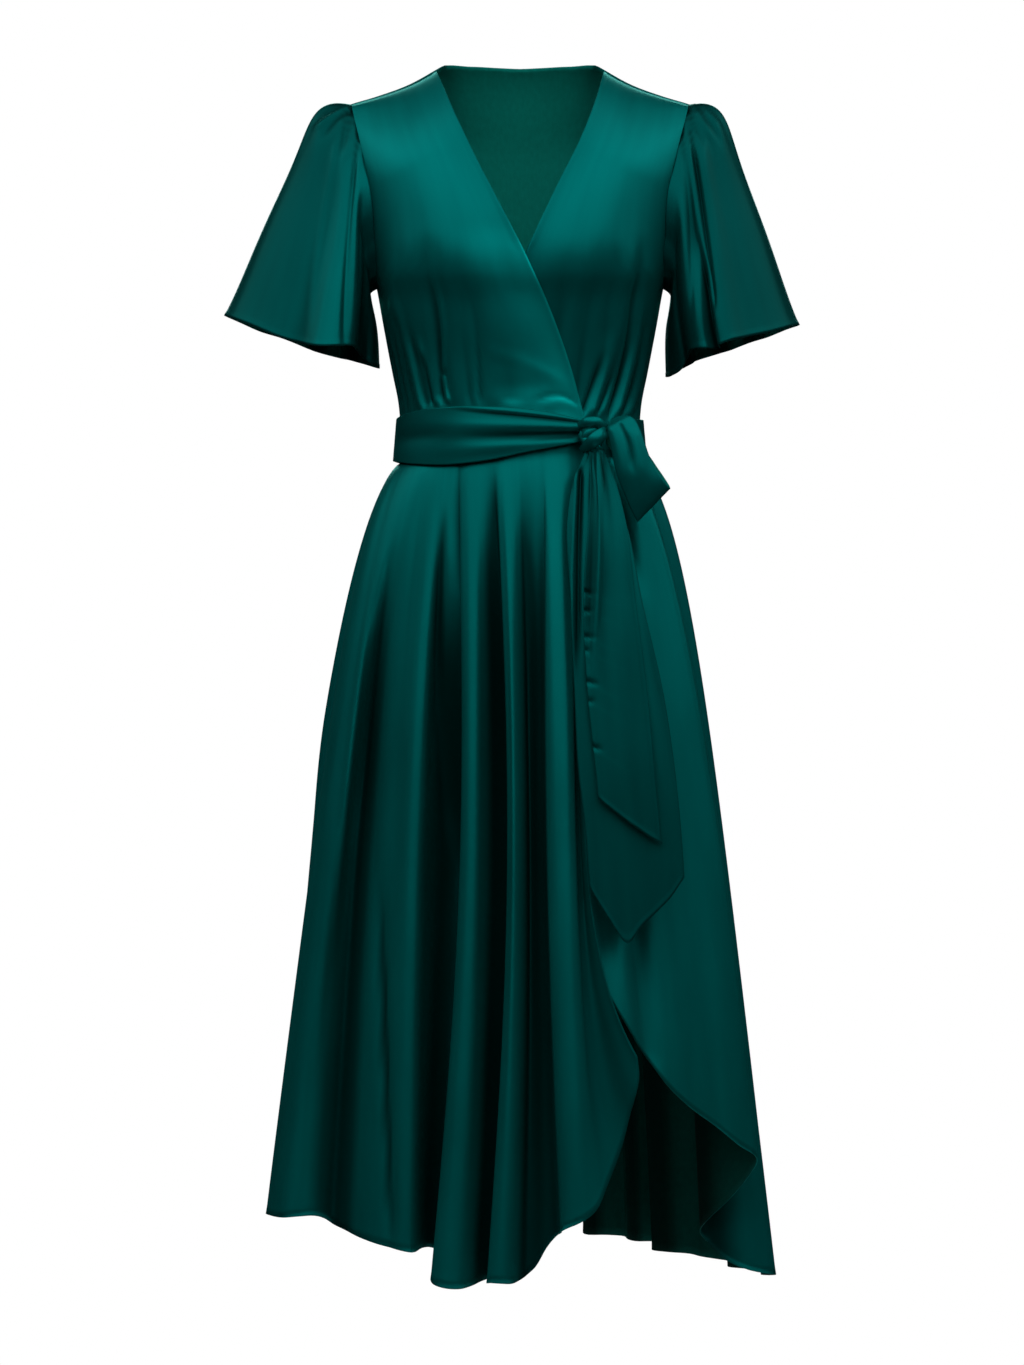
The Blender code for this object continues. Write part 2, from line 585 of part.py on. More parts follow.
def bodice_back():
    v = np.array(BODICE_HEIGHTS)
    low = WAIST_Z + SEAM / 2
    paths = []
    tip_deg = float(smooth(ARMHOLE, "z", "deg", TIP_Z))
    for share in np.linspace(-1.0, 1.0, BACK_LINES):
        top_deg = tip_deg * share
        half = float(smooth(BODY, "z", "half_width", 0.0))
        top_x = half * math.sin(math.radians(top_deg))
        if abs(top_x) <= NECK_X:
            top_z = float(smooth(BACK_NECK, "x", "z", top_x))
        else:
            top_z = float(smooth(SHOULDER, "x", "z", abs(top_x)))
        side_z = TIP_Z + (low - TIP_Z) * v
        centre_z = top_z + (low - top_z) * v
        side_deg = smooth(ARMHOLE, "z", "deg", side_z)
        z = side_z + (centre_z - side_z) * (1.0 - abs(share) ** SIDE_EASE)
        points = body_point(side_deg * share, z, "back")
        paths.append(points)
    paths = np.array(paths)
    paths[..., 1] += BODICE_SEAM
    return paths


# ---------------------------------------------------------------- skirt
def flare(v, power):
    """Share of the way from the waist out to the hem, at a share of the length."""
    held = np.maximum(v - FLARE_START, 0.0) + FLARE_SOFTEN
    start = FLARE_SOFTEN**power
    end = (1.0 - FLARE_START + FLARE_SOFTEN) ** power
    return (held**power - start) / (end - start)


def skirt_line(line, layer):
    """One fold line of the skirt, from the waist seam to the hem."""
    v = np.array(SKIRT_HEIGHTS)
    start = waist_point(line["waist_deg"], layer)
    out_x = line["hem_x"] - line["flick_x"] - start[0]
    out_y = line["hem_y"] - start[1]
    bow = np.sin(math.pi * v)
    x = start[0] + out_x * flare(v, FLARE_WIDTH_POWER) + line["bow_x"] * bow
    x = x + line["flick_x"] * v**FLICK_POWER
    y = start[1] + out_y * flare(v, FLARE_DEPTH_POWER) + line["bow_y"] * bow
    z = start[2] + (line["hem_z"] - start[2]) * v
    return np.stack([x, y, z], axis=-1)


def skirt_panel(lines, layer, before=None, after=None):
    """One panel; before and after are the rows next to its side seams."""
    paths = [skirt_line(line, layer) for line in lines]
    ghost_before = None if before is None else skirt_line(before, "back")
    ghost_after = None if after is None else skirt_line(after, "back")
    grid = across(paths, SKIRT_SPAN_STEPS, before=ghost_before, after=ghost_after)
    apart = SIDE_SEAM if layer == "back" else -SIDE_SEAM
    if before is not None:
        grid[0, :, 1] += apart
    if after is not None:
        grid[-1, :, 1] += apart
    return grid


# ---------------------------------------------------------------- sleeves
def armhole_point(deg, layer):
    """A point of the armhole edge: the front half lies on that side's front panel."""
    middle = (TIP_Z + UNDERARM_Z) / 2
    z = middle + (TIP_Z - middle) * math.cos(math.radians(deg))
    cut = float(smooth(ARMHOLE, "z", "deg", z))
    sign = -1.0 if layer == "over" else 1.0
    if deg % 360.0 <= 180.0:
        point = body_point(sign * cut, z, layer)
        point[1] -= SEAM / 2
    else:
        point = body_point(sign * cut, z, "back")
        point[1] += SEAM / 2
    return point


def outward(armhole_deg, point, sign):
    """The step from the armhole edge out to the sleeve's own edge."""
    back = 1.0 if armhole_deg % 360.0 <= 180.0 else -1.0
    turn = math.atan2(abs(point[1]), abs(point[0]))
    along = np.array([sign * math.cos(turn), back * math.sin(turn), 0.0])
    return ARMHOLE_SEAM * along + np.array([sign * SEAM, 0.0, 0.0])


def sleeve(lines, layer):
    v = np.array(SLEEVE_HEIGHTS)
    sign = -1.0 if layer == "over" else 1.0
    paths = []
    for line in lines:
        start = armhole_point(line["armhole_deg"], layer)
        start += outward(line["armhole_deg"], start, sign)
        cuff = np.array([sign * line["cuff_x"], line["cuff_y"], line["cuff_z"]])
        rise = line["puff"] * (v / PUFF_PEAK) * np.exp(1.0 - v / PUFF_PEAK) * (1 - v)
        points = start + (cuff - start) * v[:, None]
        up = PUFF_UP * (1 + math.cos(math.radians(line["armhole_deg"]))) / 2
        points[:, 0] += sign * rise * math.sqrt(1 - up**2)
        points[:, 2] += rise * up
        paths.append(points)
    return across(paths, SLEEVE_SPAN_STEPS, closed=True)


# ---------------------------------------------------------------- sash
def sash_strip(first_deg, last_deg):
    """A stretch of the strip round the waist, in sections across its height."""
    count = round(abs(last_deg - first_deg) / SASH_STEP_DEG) + 1
    deg = np.linspace(first_deg, last_deg, count)
    angle = np.radians(deg)
    depth = np.where(np.cos(angle) >= 0, WAIST_FRONT_DEPTH, WAIST_BACK_DEPTH)
    near_knot = ease(PLEAT_START_DEG, PLEAT_FULL_DEG, deg)
    edges = {name: smooth(SASH, "deg", name, deg) for name in SASH[0]}
    paths = []
    for pleat in SASH_PLEATS:
        t = pleat["across"]
        out = edges["out_top"] + (edges["out_bottom"] - edges["out_top"]) * t
        out = out + pleat["relief"] * (PLEAT_AWAY + (1.0 - PLEAT_AWAY) * near_knot)
        x = (WAIST_HALF_WIDTH + out) * np.sin(angle)
        y = -(depth + out) * np.cos(angle)
        z = edges["top"] + (edges["bottom"] - edges["top"]) * t
        paths.append(np.stack([x, y, z], axis=-1))
    return np.array(paths).transpose(1, 0, 2)


def loop_strip():
    sections = []
    for row in LOOP:
        angle = math.radians(row["turn_deg"])
        along = np.array([math.sin(angle), 0.0, math.cos(angle)])
        middle = np.array([row["x"], row["y"], row["z"]])
        section = []
        for share in LOOP_ACROSS:
            point = middle + along * row["half_width"] * share
            point[1] -= row["crown"] * (1.0 - share**2)
            section.append(point)
        sections.append(section)
    return np.array(sections)


def tail_strip(edges, lines, top_z):
    v = np.array(TAIL_HEIGHTS)
    paths = []
    for line in lines:
        z = top_z + (line["bottom"] - top_z) * v
        left = smooth(edges, "z", "left", z)
        right = smooth(edges, "z", "right", z)
        x = left + (right - left) * line["across"]
        y = smooth(edges, "z", "y", z) + line["fold"] * ease(0.0, TAIL_FOLD_SHARE, v)
        paths.append(np.stack([x, y, z], axis=-1))
    return np.array(paths)


# ---------------------------------------------------------------- objects
def satin(name):
    material = bpy.data.materials.new(name)
    material.use_nodes = True
    shader = material.node_tree.nodes["Principled BSDF"]
    shader.inputs["Base Color"].default_value = (*SATIN, 1.0)
    shader.inputs["Roughness"].default_value = 0.38
    shader.inputs["Metallic"].default_value = 0.0
    return material


def cloth(name, grid, collection, closed=False):
    """A grid of points as one sheet, thickened evenly about its middle."""
    columns, heights = grid.shape[:2]
    faces = []
    for i in range(columns if closed else columns - 1):
        after = (i + 1) % columns
        for j in range(heights - 1):
            faces.append([
                i * heights + j,
                after * heights + j,
                after * heights + j + 1,
                i * heights + j + 1,
            ])
    mesh = bpy.data.meshes.new(name)
    mesh.from_pydata(grid.reshape(-1, 3).tolist(), [], faces)
    mesh.materials.append(satin(name + "_satin"))
    mesh.shade_smooth()
    obj = bpy.data.objects.new(name, mesh)
    collection.objects.link(obj)
    wall = obj.modifiers.new("wall", "SOLIDIFY")
    wall.thickness = WALL
    wall.offset = 0.0
    return obj


def knot(collection):
    """A small round of cloth: a ball squeezed to size, with wrapped pleats round it."""
    bpy.ops.mesh.primitive_uv_sphere_add(segments=20, ring_count=12, radius=1.0, location=KNOT)
    obj = bpy.context.object
    obj.name = "sash_knot"
    obj.data.name = "sash_knot"
    for vertex in obj.data.vertices:
        direction = vertex.co.normalized()
        turn = math.atan2(direction.x, direction.z)
        wave = math.sin(KNOT_WAVES * direction.x + KNOT_TURNS * turn)
        pleat = 1.0 + KNOT_PLEAT * wave
        vertex.co = [direction[k] * KNOT_SIZE[k] * pleat for k in range(3)]
    obj.data.materials.append(satin("sash_knot_satin"))
    obj.data.shade_smooth()
    for owner in list(obj.users_collection):
        owner.objects.unlink(obj)
    collection.objects.link(obj)
    return obj


def main():
    for obj in list(bpy.data.objects):
        bpy.data.objects.remove(obj)
    dress = bpy.data.collections.new("midi_dress")
    bpy.context.scene.collection.children.link(dress)

    cloth("bodice_front_right", bodice_front(BODICE_RIGHT, NECK_EDGE_RIGHT, "over"), dress)
    cloth("bodice_front_left", bodice_front(BODICE_LEFT, NECK_EDGE_LEFT, "under"), dress)
    cloth("bodice_back", bodice_back(), dress)
    right = skirt_panel(SKIRT_RIGHT, "over", before=SKIRT_BACK[-2])
    left = skirt_panel(SKIRT_LEFT, "under", before=SKIRT_BACK[1])
    back = skirt_panel(SKIRT_BACK, "back", before=SKIRT_LEFT[1], after=SKIRT_RIGHT[1])
    cloth("skirt_front_right", right, dress)
    cloth("skirt_front_left", left, dress)
    cloth("skirt_back", back, dress)
    cloth("sleeve_right", sleeve(SLEEVE_RIGHT, "over"), dress, closed=True)
    cloth("sleeve_left", sleeve(SLEEVE_LEFT, "under"), dress, closed=True)

    seam_deg = math.degrees(SEAM / WAIST_HALF_WIDTH)
    cloth("sash_front", sash_strip(SASH[0]["deg"], SASH_SIDE_DEG + seam_deg), dress)
    cloth("sash_back", sash_strip(SASH_SIDE_DEG - seam_deg, SASH[-1]["deg"]), dress)
    knot(dress)
    cloth("sash_loop", loop_strip(), dress)
    long_tail = tail_strip(TAIL_LONG_EDGES, TAIL_LONG_LINES, TAIL_LONG_TOP)
    short_tail = tail_strip(TAIL_SHORT_EDGES, TAIL_SHORT_LINES, TAIL_SHORT_TOP)
    cloth("sash_tail_long", long_tail, dress)
    cloth("sash_tail_short", short_tail, dress)


main()
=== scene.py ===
"""Looks of the satin wrap midi dress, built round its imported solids.

Metres, +Z up. The front faces -Y and the wearer's right side is at -X. The origin is
the point midway between the two shoulder seams. "Right" and "left" are the wearer's.
Each piece is a thin shell close to its solid's surface, sampled finely, with the
creases, gathers, hems and puckers that the solid leaves out.
"""

import math
from itertools import zip_longest

import bpy
import numpy as np
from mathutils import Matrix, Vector


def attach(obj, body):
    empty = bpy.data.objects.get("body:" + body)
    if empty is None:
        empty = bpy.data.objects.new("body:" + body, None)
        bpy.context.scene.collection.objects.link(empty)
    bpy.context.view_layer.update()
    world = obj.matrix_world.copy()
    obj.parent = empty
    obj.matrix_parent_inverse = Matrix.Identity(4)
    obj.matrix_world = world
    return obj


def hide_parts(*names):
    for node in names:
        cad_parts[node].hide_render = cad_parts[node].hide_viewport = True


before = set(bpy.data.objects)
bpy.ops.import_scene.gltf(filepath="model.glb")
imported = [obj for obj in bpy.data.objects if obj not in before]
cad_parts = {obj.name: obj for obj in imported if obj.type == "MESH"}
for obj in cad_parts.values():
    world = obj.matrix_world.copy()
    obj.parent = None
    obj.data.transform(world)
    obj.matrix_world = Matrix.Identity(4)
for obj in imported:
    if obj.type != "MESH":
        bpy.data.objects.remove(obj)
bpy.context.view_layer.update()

# ---------------------------------------------------------------- driving sizes
SEAM = 0.0003              # clear gap between two solids at a seam
WAIST_Z = -0.365           # height of the waist seam
WAIST_HALF_WIDTH = 0.1245
WAIST_FRONT_DEPTH = 0.095
WAIST_BACK_DEPTH = 0.088
UNDERARM_Z = -0.211        # where the armhole closes into the side seam
TIP_X, TIP_Z = 0.1765, -0.018      # outer end of a shoulder seam
NECK_X, NECK_Z = 0.0880, 0.0170    # inner end of a shoulder seam
SHOULDER_ROUND = 0.100     # height over which the cloth rounds over the shoulder
SHOULDER_POWER = 0.65      # how full that rounding is
LAP_OFFSET = 0.0017        # how far a lapped front lies outside or inside the plain one
LAP_START_DEG, LAP_FULL_DEG = 78.0, 45.0   # where the lap begins and is complete
LAP_DROP = 0.08            # how far below the shoulder line the lap is complete
BUST_X, BUST_Z, BUST_SPREAD, BUST_FULLNESS = 0.074, -0.180, 0.052, 0.012

# How the skirt spreads between the sash and the hem.
FLARE_START = 0.034        # share of the skirt's length that the sash holds in
FLARE_SOFTEN = 0.003
FLARE_WIDTH_POWER = 0.48
FLARE_DEPTH_POWER = 0.80
FLICK_POWER = 7            # how late a free corner swings out
FOLD_GROWS = 0.35          # share of the length over which a fold reaches its depth


def table(columns, *values):
    """One dictionary for each row. Values left off the end of a row are zero."""
    names = columns.split()
    return [dict(zip_longest(names, row, fillvalue=0.0)) for row in values]


# ---------------------------------------------------------------- body sections
# Half width and depths of the bodice at each height. Above the underarm the half
# width runs on past the armhole, which cuts the section at its own angle.
BODY = table(
    "z half_width front back",
    (-0.365, WAIST_HALF_WIDTH, WAIST_FRONT_DEPTH, WAIST_BACK_DEPTH),
    (-0.33, 0.1275, 0.096, 0.088),
    (-0.3, 0.1335, 0.099, 0.089),
    (-0.25, 0.143, 0.107, 0.092),
    (-0.211, 0.15, 0.111, 0.096),
    (-0.165, 0.161, 0.113, 0.098),
    (-0.11, 0.175, 0.106, 0.098),
    (-0.06, 0.188, 0.09, 0.092),
    (-0.02, 0.194, 0.075, 0.08),
    (0.03, 0.196, 0.06, 0.074),
)

# Height of the shoulder line, running on up the side of the neck.
SHOULDER = table(
    "x z",
    (0, 0.06), (0.03, 0.053), (0.06, 0.036), (NECK_X, NECK_Z), (0.11, 0.0045),
    (0.147, -0.0095), (TIP_X, TIP_Z), (0.2, -0.026),
)

# The angle at which the armhole cuts the body section, from the centre line.
ARMHOLE = table(
    "z deg",
    (-0.211, 90), (-0.205, 81), (-0.191, 73), (-0.16, 67.5), (-0.139, 64.2), (-0.112, 61.8),
    (-0.086, 62), (-0.06, 62.4), (-0.018, 65.6),
)

# The V edge of each front, from the shoulder seam down to the waist seam.
NECK_EDGE_RIGHT = table(
    "z x",
    (-0.365, 0.069), (-0.345, 0.0633), (-0.3, 0.0509), (-0.243, 0.0303), (-0.196, 0.0095),
    (-0.136, -0.0205), (-0.094, -0.0413), (-0.048, -0.0622), (NECK_Z, -NECK_X),
)
NECK_EDGE_LEFT = table(
    "z x",
    (-0.365, -0.06), (-0.31, -0.044), (-0.25, -0.022), (-0.187, 0.0048), (-0.154, 0.0202),
    (-0.11, 0.0409), (-0.067, 0.0617), (-0.014, 0.0804), (NECK_Z, NECK_X),
)
BACK_NECK = table(
    "x z",
    (-NECK_X, NECK_Z), (-0.078, 0.0225), (-0.05, 0.0268), (0, 0.0275), (0.05, 0.0268),
    (0.078, 0.0225), (NECK_X, NECK_Z),
)

# Lines down each bodice piece. "top" and "waist" say how far across the piece the
# line is at its two ends; "gather" is how far it stands out (crest) or in (valley) at
# the waist, and "reach" the height at which that dies out.
BODICE_RIGHT = table(
    "top waist gather reach",
    (0, 0, 0, -0.2),
    (0.05, 0.05, 0, -0.2),
    (0.1, 0.09, 0.0016, -0.21),
    (0.14, 0.122, -0.0014, -0.21),
    (0.18, 0.155, 0.002, -0.2),
    (0.22, 0.188, -0.0014, -0.22),
    (0.26, 0.22, 0.0018, -0.24),
    (0.3, 0.252, -0.0012, -0.25),
    (0.34, 0.285, 0.0022, -0.21),
    (0.38, 0.32, -0.0014, -0.22),
    (0.42, 0.352, 0.0018, -0.24),
    (0.46, 0.388, -0.0012, -0.23),
    (0.51, 0.425, 0.0024, -0.2),
    (0.56, 0.47, -0.001, -0.2),
    (0.61, 0.52, 0.0018, -0.19),
    (0.67, 0.59, -0.0004, -0.2),
    (0.75, 0.68, 0.0006, -0.22),
    (0.84, 0.79, 0.0004, -0.25),
    (0.92, 0.9, 0, -0.3),
    (1, 1, 0, -0.3),
)
BODICE_LEFT = table(
    "top waist gather reach",
    (0, 0, 0, -0.2),
    (0.07, 0.09, 0, -0.2),
    (0.14, 0.17, 0.001, -0.24),
    (0.21, 0.24, -0.0008, -0.24),
    (0.27, 0.29, 0.0018, -0.22),
    (0.32, 0.325, -0.0012, -0.22),
    (0.37, 0.36, 0.002, -0.2),
    (0.42, 0.395, -0.0012, -0.21),
    (0.47, 0.43, 0.002, -0.22),
    (0.52, 0.465, -0.001, -0.21),
    (0.57, 0.5, 0.0016, -0.22),
    (0.63, 0.545, -0.0006, -0.24),
    (0.72, 0.64, 0.0004, -0.26),
    (0.82, 0.77, 0, -0.3),
    (0.91, 0.89, 0, -0.3),
    (1, 1, 0, -0.3),
)
TOP_SHARE = 0.30           # share of a bodice piece's length that its top edge shapes
BACK_TURN = 4              # how late the back's lines leave the centre's run for the side's
SEAM_HELD, SEAM_FREE = 0.015, 0.045    # over the waist seam: gathers held flat, and free
SEAM_GATHER = 0.3          # share of the gathers' depth left where the seam holds them

# ---------------------------------------------------------------- skirt fold lines
# One row for each crest or valley, in order round the panel: its angle at the waist
# (0 front, 90 the wearer's left, 180 back, -90 the wearer's right), its end at the
# hem, how far it bows on the way, how far it is let in as a fold and from which share
# of the length, and how much of hem_x is a late swing to the side.
SKIRT_RIGHT = table(
    "waist_deg hem_x hem_y hem_z bow_x bow_y fold starts flick_x",
    (-90, -0.244, 0.03, -1.188),
    (-84, -0.264, -0.01, -1.18, 0.008),
    (-78, -0.26, -0.052, -1.176, 0.006, 0, 0, 0.1),
    (-72, -0.243, -0.086, -1.174, 0.003, 0, 0, 0.1),
    (-67.5, -0.226, -0.103, -1.172, 0.002, 0, 0.012, 0.5),
    (-63, -0.212, -0.112, -1.172, -0.001, 0, 0.026, 0.4),
    (-59, -0.201, -0.118, -1.176, -0.002, 0, 0.04, 0.16),
    (-55.5, -0.193, -0.122, -1.182, -0.0018, 0, 0.048, 0.12),
    (-52, -0.18, -0.128, -1.186, -0.0025, 0, 0.04, 0.12),
    (-48.5, -0.163, -0.136, -1.19, -0.004, 0, 0.019, 0.12),
    (-44.5, -0.143, -0.144, -1.194, -0.002, 0, 0.006, 0.1),
    (-40.5, -0.121, -0.152, -1.198, -0.004, -0.003, 0, 0.05),
    (-37, -0.11, -0.156, -1.2, -0.003, -0.002, 0.004, 0.06),
    (-34.5, -0.1, -0.159, -1.2, -0.002, 0, 0.04, 0.08),
    (-32.5, -0.091, -0.161, -1.202, 0.003, 0, 0.058, 0.14),
    (-31, -0.0825, -0.163, -1.206, 0.019, 0, 0.062, 0.2),
    (-29.8, -0.084, -0.164, -1.215, 0.02, 0, 0.032, 0.26),
    (-28.8, -0.09, -0.165, -1.225, 0.02, 0, 0, 0.07),
    (-27.4, -0.087, -0.172, -1.229, 0.019, -0.002),
    (-24.5, -0.076, -0.178, -1.232, 0.0157, -0.004),
    (-21, -0.062, -0.18, -1.233, 0.0125, -0.004, 0.003, 0.035),
    (-18, -0.05, -0.18, -1.232, 0.01, -0.002, 0.017, 0.035),
    (-16, -0.04, -0.181, -1.23, 0.0143, 0, 0.036, 0.035),
    (-14.4, -0.031, -0.182, -1.228, 0.022, 0, 0.044, 0.035),
    (-13, -0.03, -0.183, -1.227, 0.019, 0, 0.024, 0.035),
    (-12, -0.0335, -0.184, -1.226, 0.0184),
    (-10.6, -0.03, -0.189, -1.225, 0.018, -0.003),
    (-8, -0.02, -0.193, -1.225, 0.012, -0.006),
    (-5, -0.01, -0.192, -1.226, 0.0105, -0.004, 0.004, 0.035),
    (-2.5, -0.002, -0.191, -1.225, 0.009, -0.002, 0.018, 0.035),
    (-0.5, 0.005, -0.191, -1.222, 0.006, 0, 0.028, 0.035),
    (2.5, 0.015, -0.19, -1.213, 0.001, 0, 0.027, 0.035),
    (6, 0.026, -0.19, -1.193, -0.003, -0.002, 0.022, 0.035),
    (9, 0.036, -0.19, -1.18, -0.0062, -0.003, 0.016, 0.035),
    (10.6, 0.0405, -0.19, -1.176, -0.0078, -0.004, 0.009, 0.035),
    (11.6, 0.041, -0.191, -1.173, -0.0092, -0.006),
    (13.5, 0.047, -0.198, -1.169, -0.008, -0.01),
    (18, 0.06, -0.201, -1.163, -0.007, -0.012),
    (22.5, 0.0755, -0.194, -1.152, -0.006, -0.011, 0, 0, 0.01),
    (26.5, 0.087, -0.184, -1.128, -0.008, -0.01, 0, 0, 0.02),
    (29.5, 0.102, -0.174, -1.09, -0.01, -0.011, 0, 0, 0.03),
    (31.8, 0.111, -0.172, -1.056, -0.01, -0.012, 0, 0, 0.04),
    (33.6, 0.119, -0.176, -1.023, -0.008, -0.012, 0, 0, 0.05),
    (35.5, 0.1175, -0.178, -1, -0.006, -0.012, 0, 0, 0.05),
)
SKIRT_LEFT = table(
    "waist_deg hem_x hem_y hem_z bow_x bow_y",
    (90, 0.256, 0.04, -1.252),
    (84, 0.268, -0.005, -1.245, -0.008),
    (79, 0.24, -0.022, -1.238, -0.006),
    (75, 0.214, -0.018, -1.227),
    (71.5, 0.198, -0.009, -1.212, 0, 0.004),
    (68.5, 0.1885, -0.016, -1.199, 0, 0.004),
    (65.5, 0.195, -0.038, -1.183),
    (62, 0.218, -0.06, -1.157, 0, -0.004),
    (58.5, 0.237, -0.078, -1.13, 0, -0.006),
    (54.5, 0.243, -0.095, -1.112, 0, -0.008),
    (49, 0.224, -0.112, -1.097, 0, -0.002),
    (43.5, 0.198, -0.124, -1.075, 0, 0.004),
    (37, 0.172, -0.135, -1.055, -0.002, 0.01),
    (30, 0.148, -0.143, -1.031, -0.004, 0.015),
    (22, 0.13, -0.147, -1.004, -0.006, 0.026),
    (13, 0.114, -0.148, -0.98, -0.008, 0.03),
    (3, 0.098, -0.147, -0.955, -0.008, 0.034),
    (-8, 0.085, -0.145, -0.93, -0.008, 0.036),
    (-19, 0.072, -0.143, -0.9, -0.008, 0.036),
    (-28.5, 0.058, -0.141, -0.87, -0.008, 0.034),
)
# The back panel's crests follow this outline; its folds are listed after it.
SKIRT_BACK = table(
    "waist_deg hem_x hem_y hem_z bow_x",
    (90, 0.256, 0.04, -1.252),
    (97, 0.266, 0.074, -1.252, -0.004),
    (111, 0.226, 0.142, -1.25),
    (126, 0.178, 0.196, -1.242),
    (142, 0.12, 0.226, -1.236),
    (159, 0.06, 0.241, -1.212),
    (175, 0.005, 0.245, -1.208),
    (191, -0.052, 0.239, -1.213),
    (208, -0.113, 0.222, -1.221),
    (226, -0.17, 0.19, -1.219),
    (244, -0.22, 0.144, -1.205),
    (261, -0.262, 0.076, -1.192, -0.006),
    (270, -0.244, 0.03, -1.188),
)
# Each fold of the back: the angle of its valley, its half width in degrees, how deep
# it lies at the hem, and the share of the length at which it starts.
BACK_FOLDS = table(
    "deg wide deep starts",
    (102, 4.5, 0.034, 0.12),
    (113.5, 4, 0.018, 0.3),
    (122.5, 5, 0.052, 0.06),
    (136, 4.5, 0.026, 0.22),
    (147.5, 4, 0.058, 0.04),
    (160, 5.5, 0.022, 0.32),
    (170.5, 4.2, 0.056, 0.08),
    (185, 5.5, 0.03, 0.24),
    (196.5, 4, 0.06, 0.03),
    (210, 5.5, 0.024, 0.28),
    (221, 4.4, 0.054, 0.1),
    (236.5, 5, 0.022, 0.25),
    (249.5, 4.6, 0.044, 0.1),
    (260.5, 3.2, 0.014, 0.35),
)
BACK_FROM_DEG, BACK_TO_DEG, BACK_STEP_DEG = 90.0, 270.0, 3.0   # from seam to seam
BACK_PLAIN_DEG = 6.0       # turn next to a side seam in which the folds die out
# What a skirt line does where its table says nothing.
PLAIN_LINE = {"bow_y": 0.0, "fold_x": 0.0, "fold": 0.0, "starts": 0.0, "flick_x": 0.0}

# ---------------------------------------------------------------- sleeve fold lines
# One row for each crest or valley round the sleeve: its angle round the armhole
# (0 the shoulder, 90 front, 180 underarm, 270 back), its end at the cuff, and how
# far the gathered cap puffs out and up on the way. x is away from the body.
SLEEVE_RIGHT = table(
    "armhole_deg cuff_x cuff_y cuff_z puff",
    (0, 0.311, 0.016, -0.238, 0.029),
    (16, 0.302, -0.018, -0.243, 0.0259),
    (30, 0.276, -0.046, -0.255, 0.0277),
    (46, 0.25, -0.064, -0.267, 0.0194),
    (60, 0.224, -0.076, -0.275, 0.0171),
    (72, 0.208, -0.095, -0.279, 0.0109),
    (86, 0.19, -0.098, -0.279, 0.0106),
    (100, 0.174, -0.086, -0.278, 0.0103),
    (114, 0.169, -0.048, -0.28, 0.0101),
    (132, 0.162, -0.03, -0.287, 0.0101),
    (152, 0.154, -0.024, -0.292, 0.01),
    (180, 0.148, 0.006, -0.294, 0.01),
    (206, 0.156, 0.034, -0.29, 0.01),
    (228, 0.178, 0.03, -0.284, 0.0101),
    (246, 0.192, 0.07, -0.278, 0.0101),
    (264, 0.216, 0.066, -0.272, 0.0104),
    (282, 0.228, 0.088, -0.266, 0.0107),
    (300, 0.252, 0.062, -0.258, 0.0111),
    (320, 0.276, 0.07, -0.25, 0.0195),
    (342, 0.298, 0.044, -0.242, 0.0239),
)
SLEEVE_LEFT = table(
    "armhole_deg cuff_x cuff_y cuff_z puff",
    (0, 0.294, 0.014, -0.248, 0.029),
    (15, 0.284, -0.02, -0.252, 0.026),
    (28, 0.262, -0.046, -0.26, 0.0277),
    (42, 0.236, -0.066, -0.267, 0.0195),
    (56, 0.215, -0.084, -0.273, 0.0192),
    (66, 0.205, -0.082, -0.277, 0.011),
    (78, 0.206, -0.064, -0.279, 0.0107),
    (92, 0.19, -0.074, -0.28, 0.0104),
    (106, 0.178, -0.066, -0.28, 0.0103),
    (122, 0.174, -0.04, -0.287, 0.0101),
    (140, 0.168, -0.034, -0.298, 0.01),
    (160, 0.157, -0.014, -0.304, 0.01),
    (182, 0.154, 0.012, -0.302, 0.01),
    (206, 0.164, 0.036, -0.296, 0.01),
    (228, 0.18, 0.034, -0.288, 0.0101),
    (246, 0.19, 0.072, -0.28, 0.0101),
    (266, 0.214, 0.066, -0.273, 0.0104),
    (284, 0.226, 0.086, -0.268, 0.0108),
    (302, 0.246, 0.06, -0.262, 0.0112),
    (322, 0.264, 0.066, -0.256, 0.0196),
    (342, 0.283, 0.04, -0.25, 0.0239),
)
PUFF_PEAK = 0.14           # share of the sleeve's length where the puff is fullest
PUFF_UP = 0.62             # how much of the puff goes up, the rest going out
SLEEVE_SWELL = 0.0120      # how far a sleeve's outer side swells half way down
SWELL_AROUND, SWELL_ALONG = 4, 1.5     # how closely that keeps to the outside, and half way
CAP_HELD = 0.20            # share of a sleeve's length over which its cap keeps to the armhole
ARMHOLE_LAP = 0.03         # share by which the back runs on under the sleeve
LAP_GROWS = 0.03           # height over the underarm at which that is complete
SLEEVE_MIDDLE = 0.20       # x of a sleeve's middle line

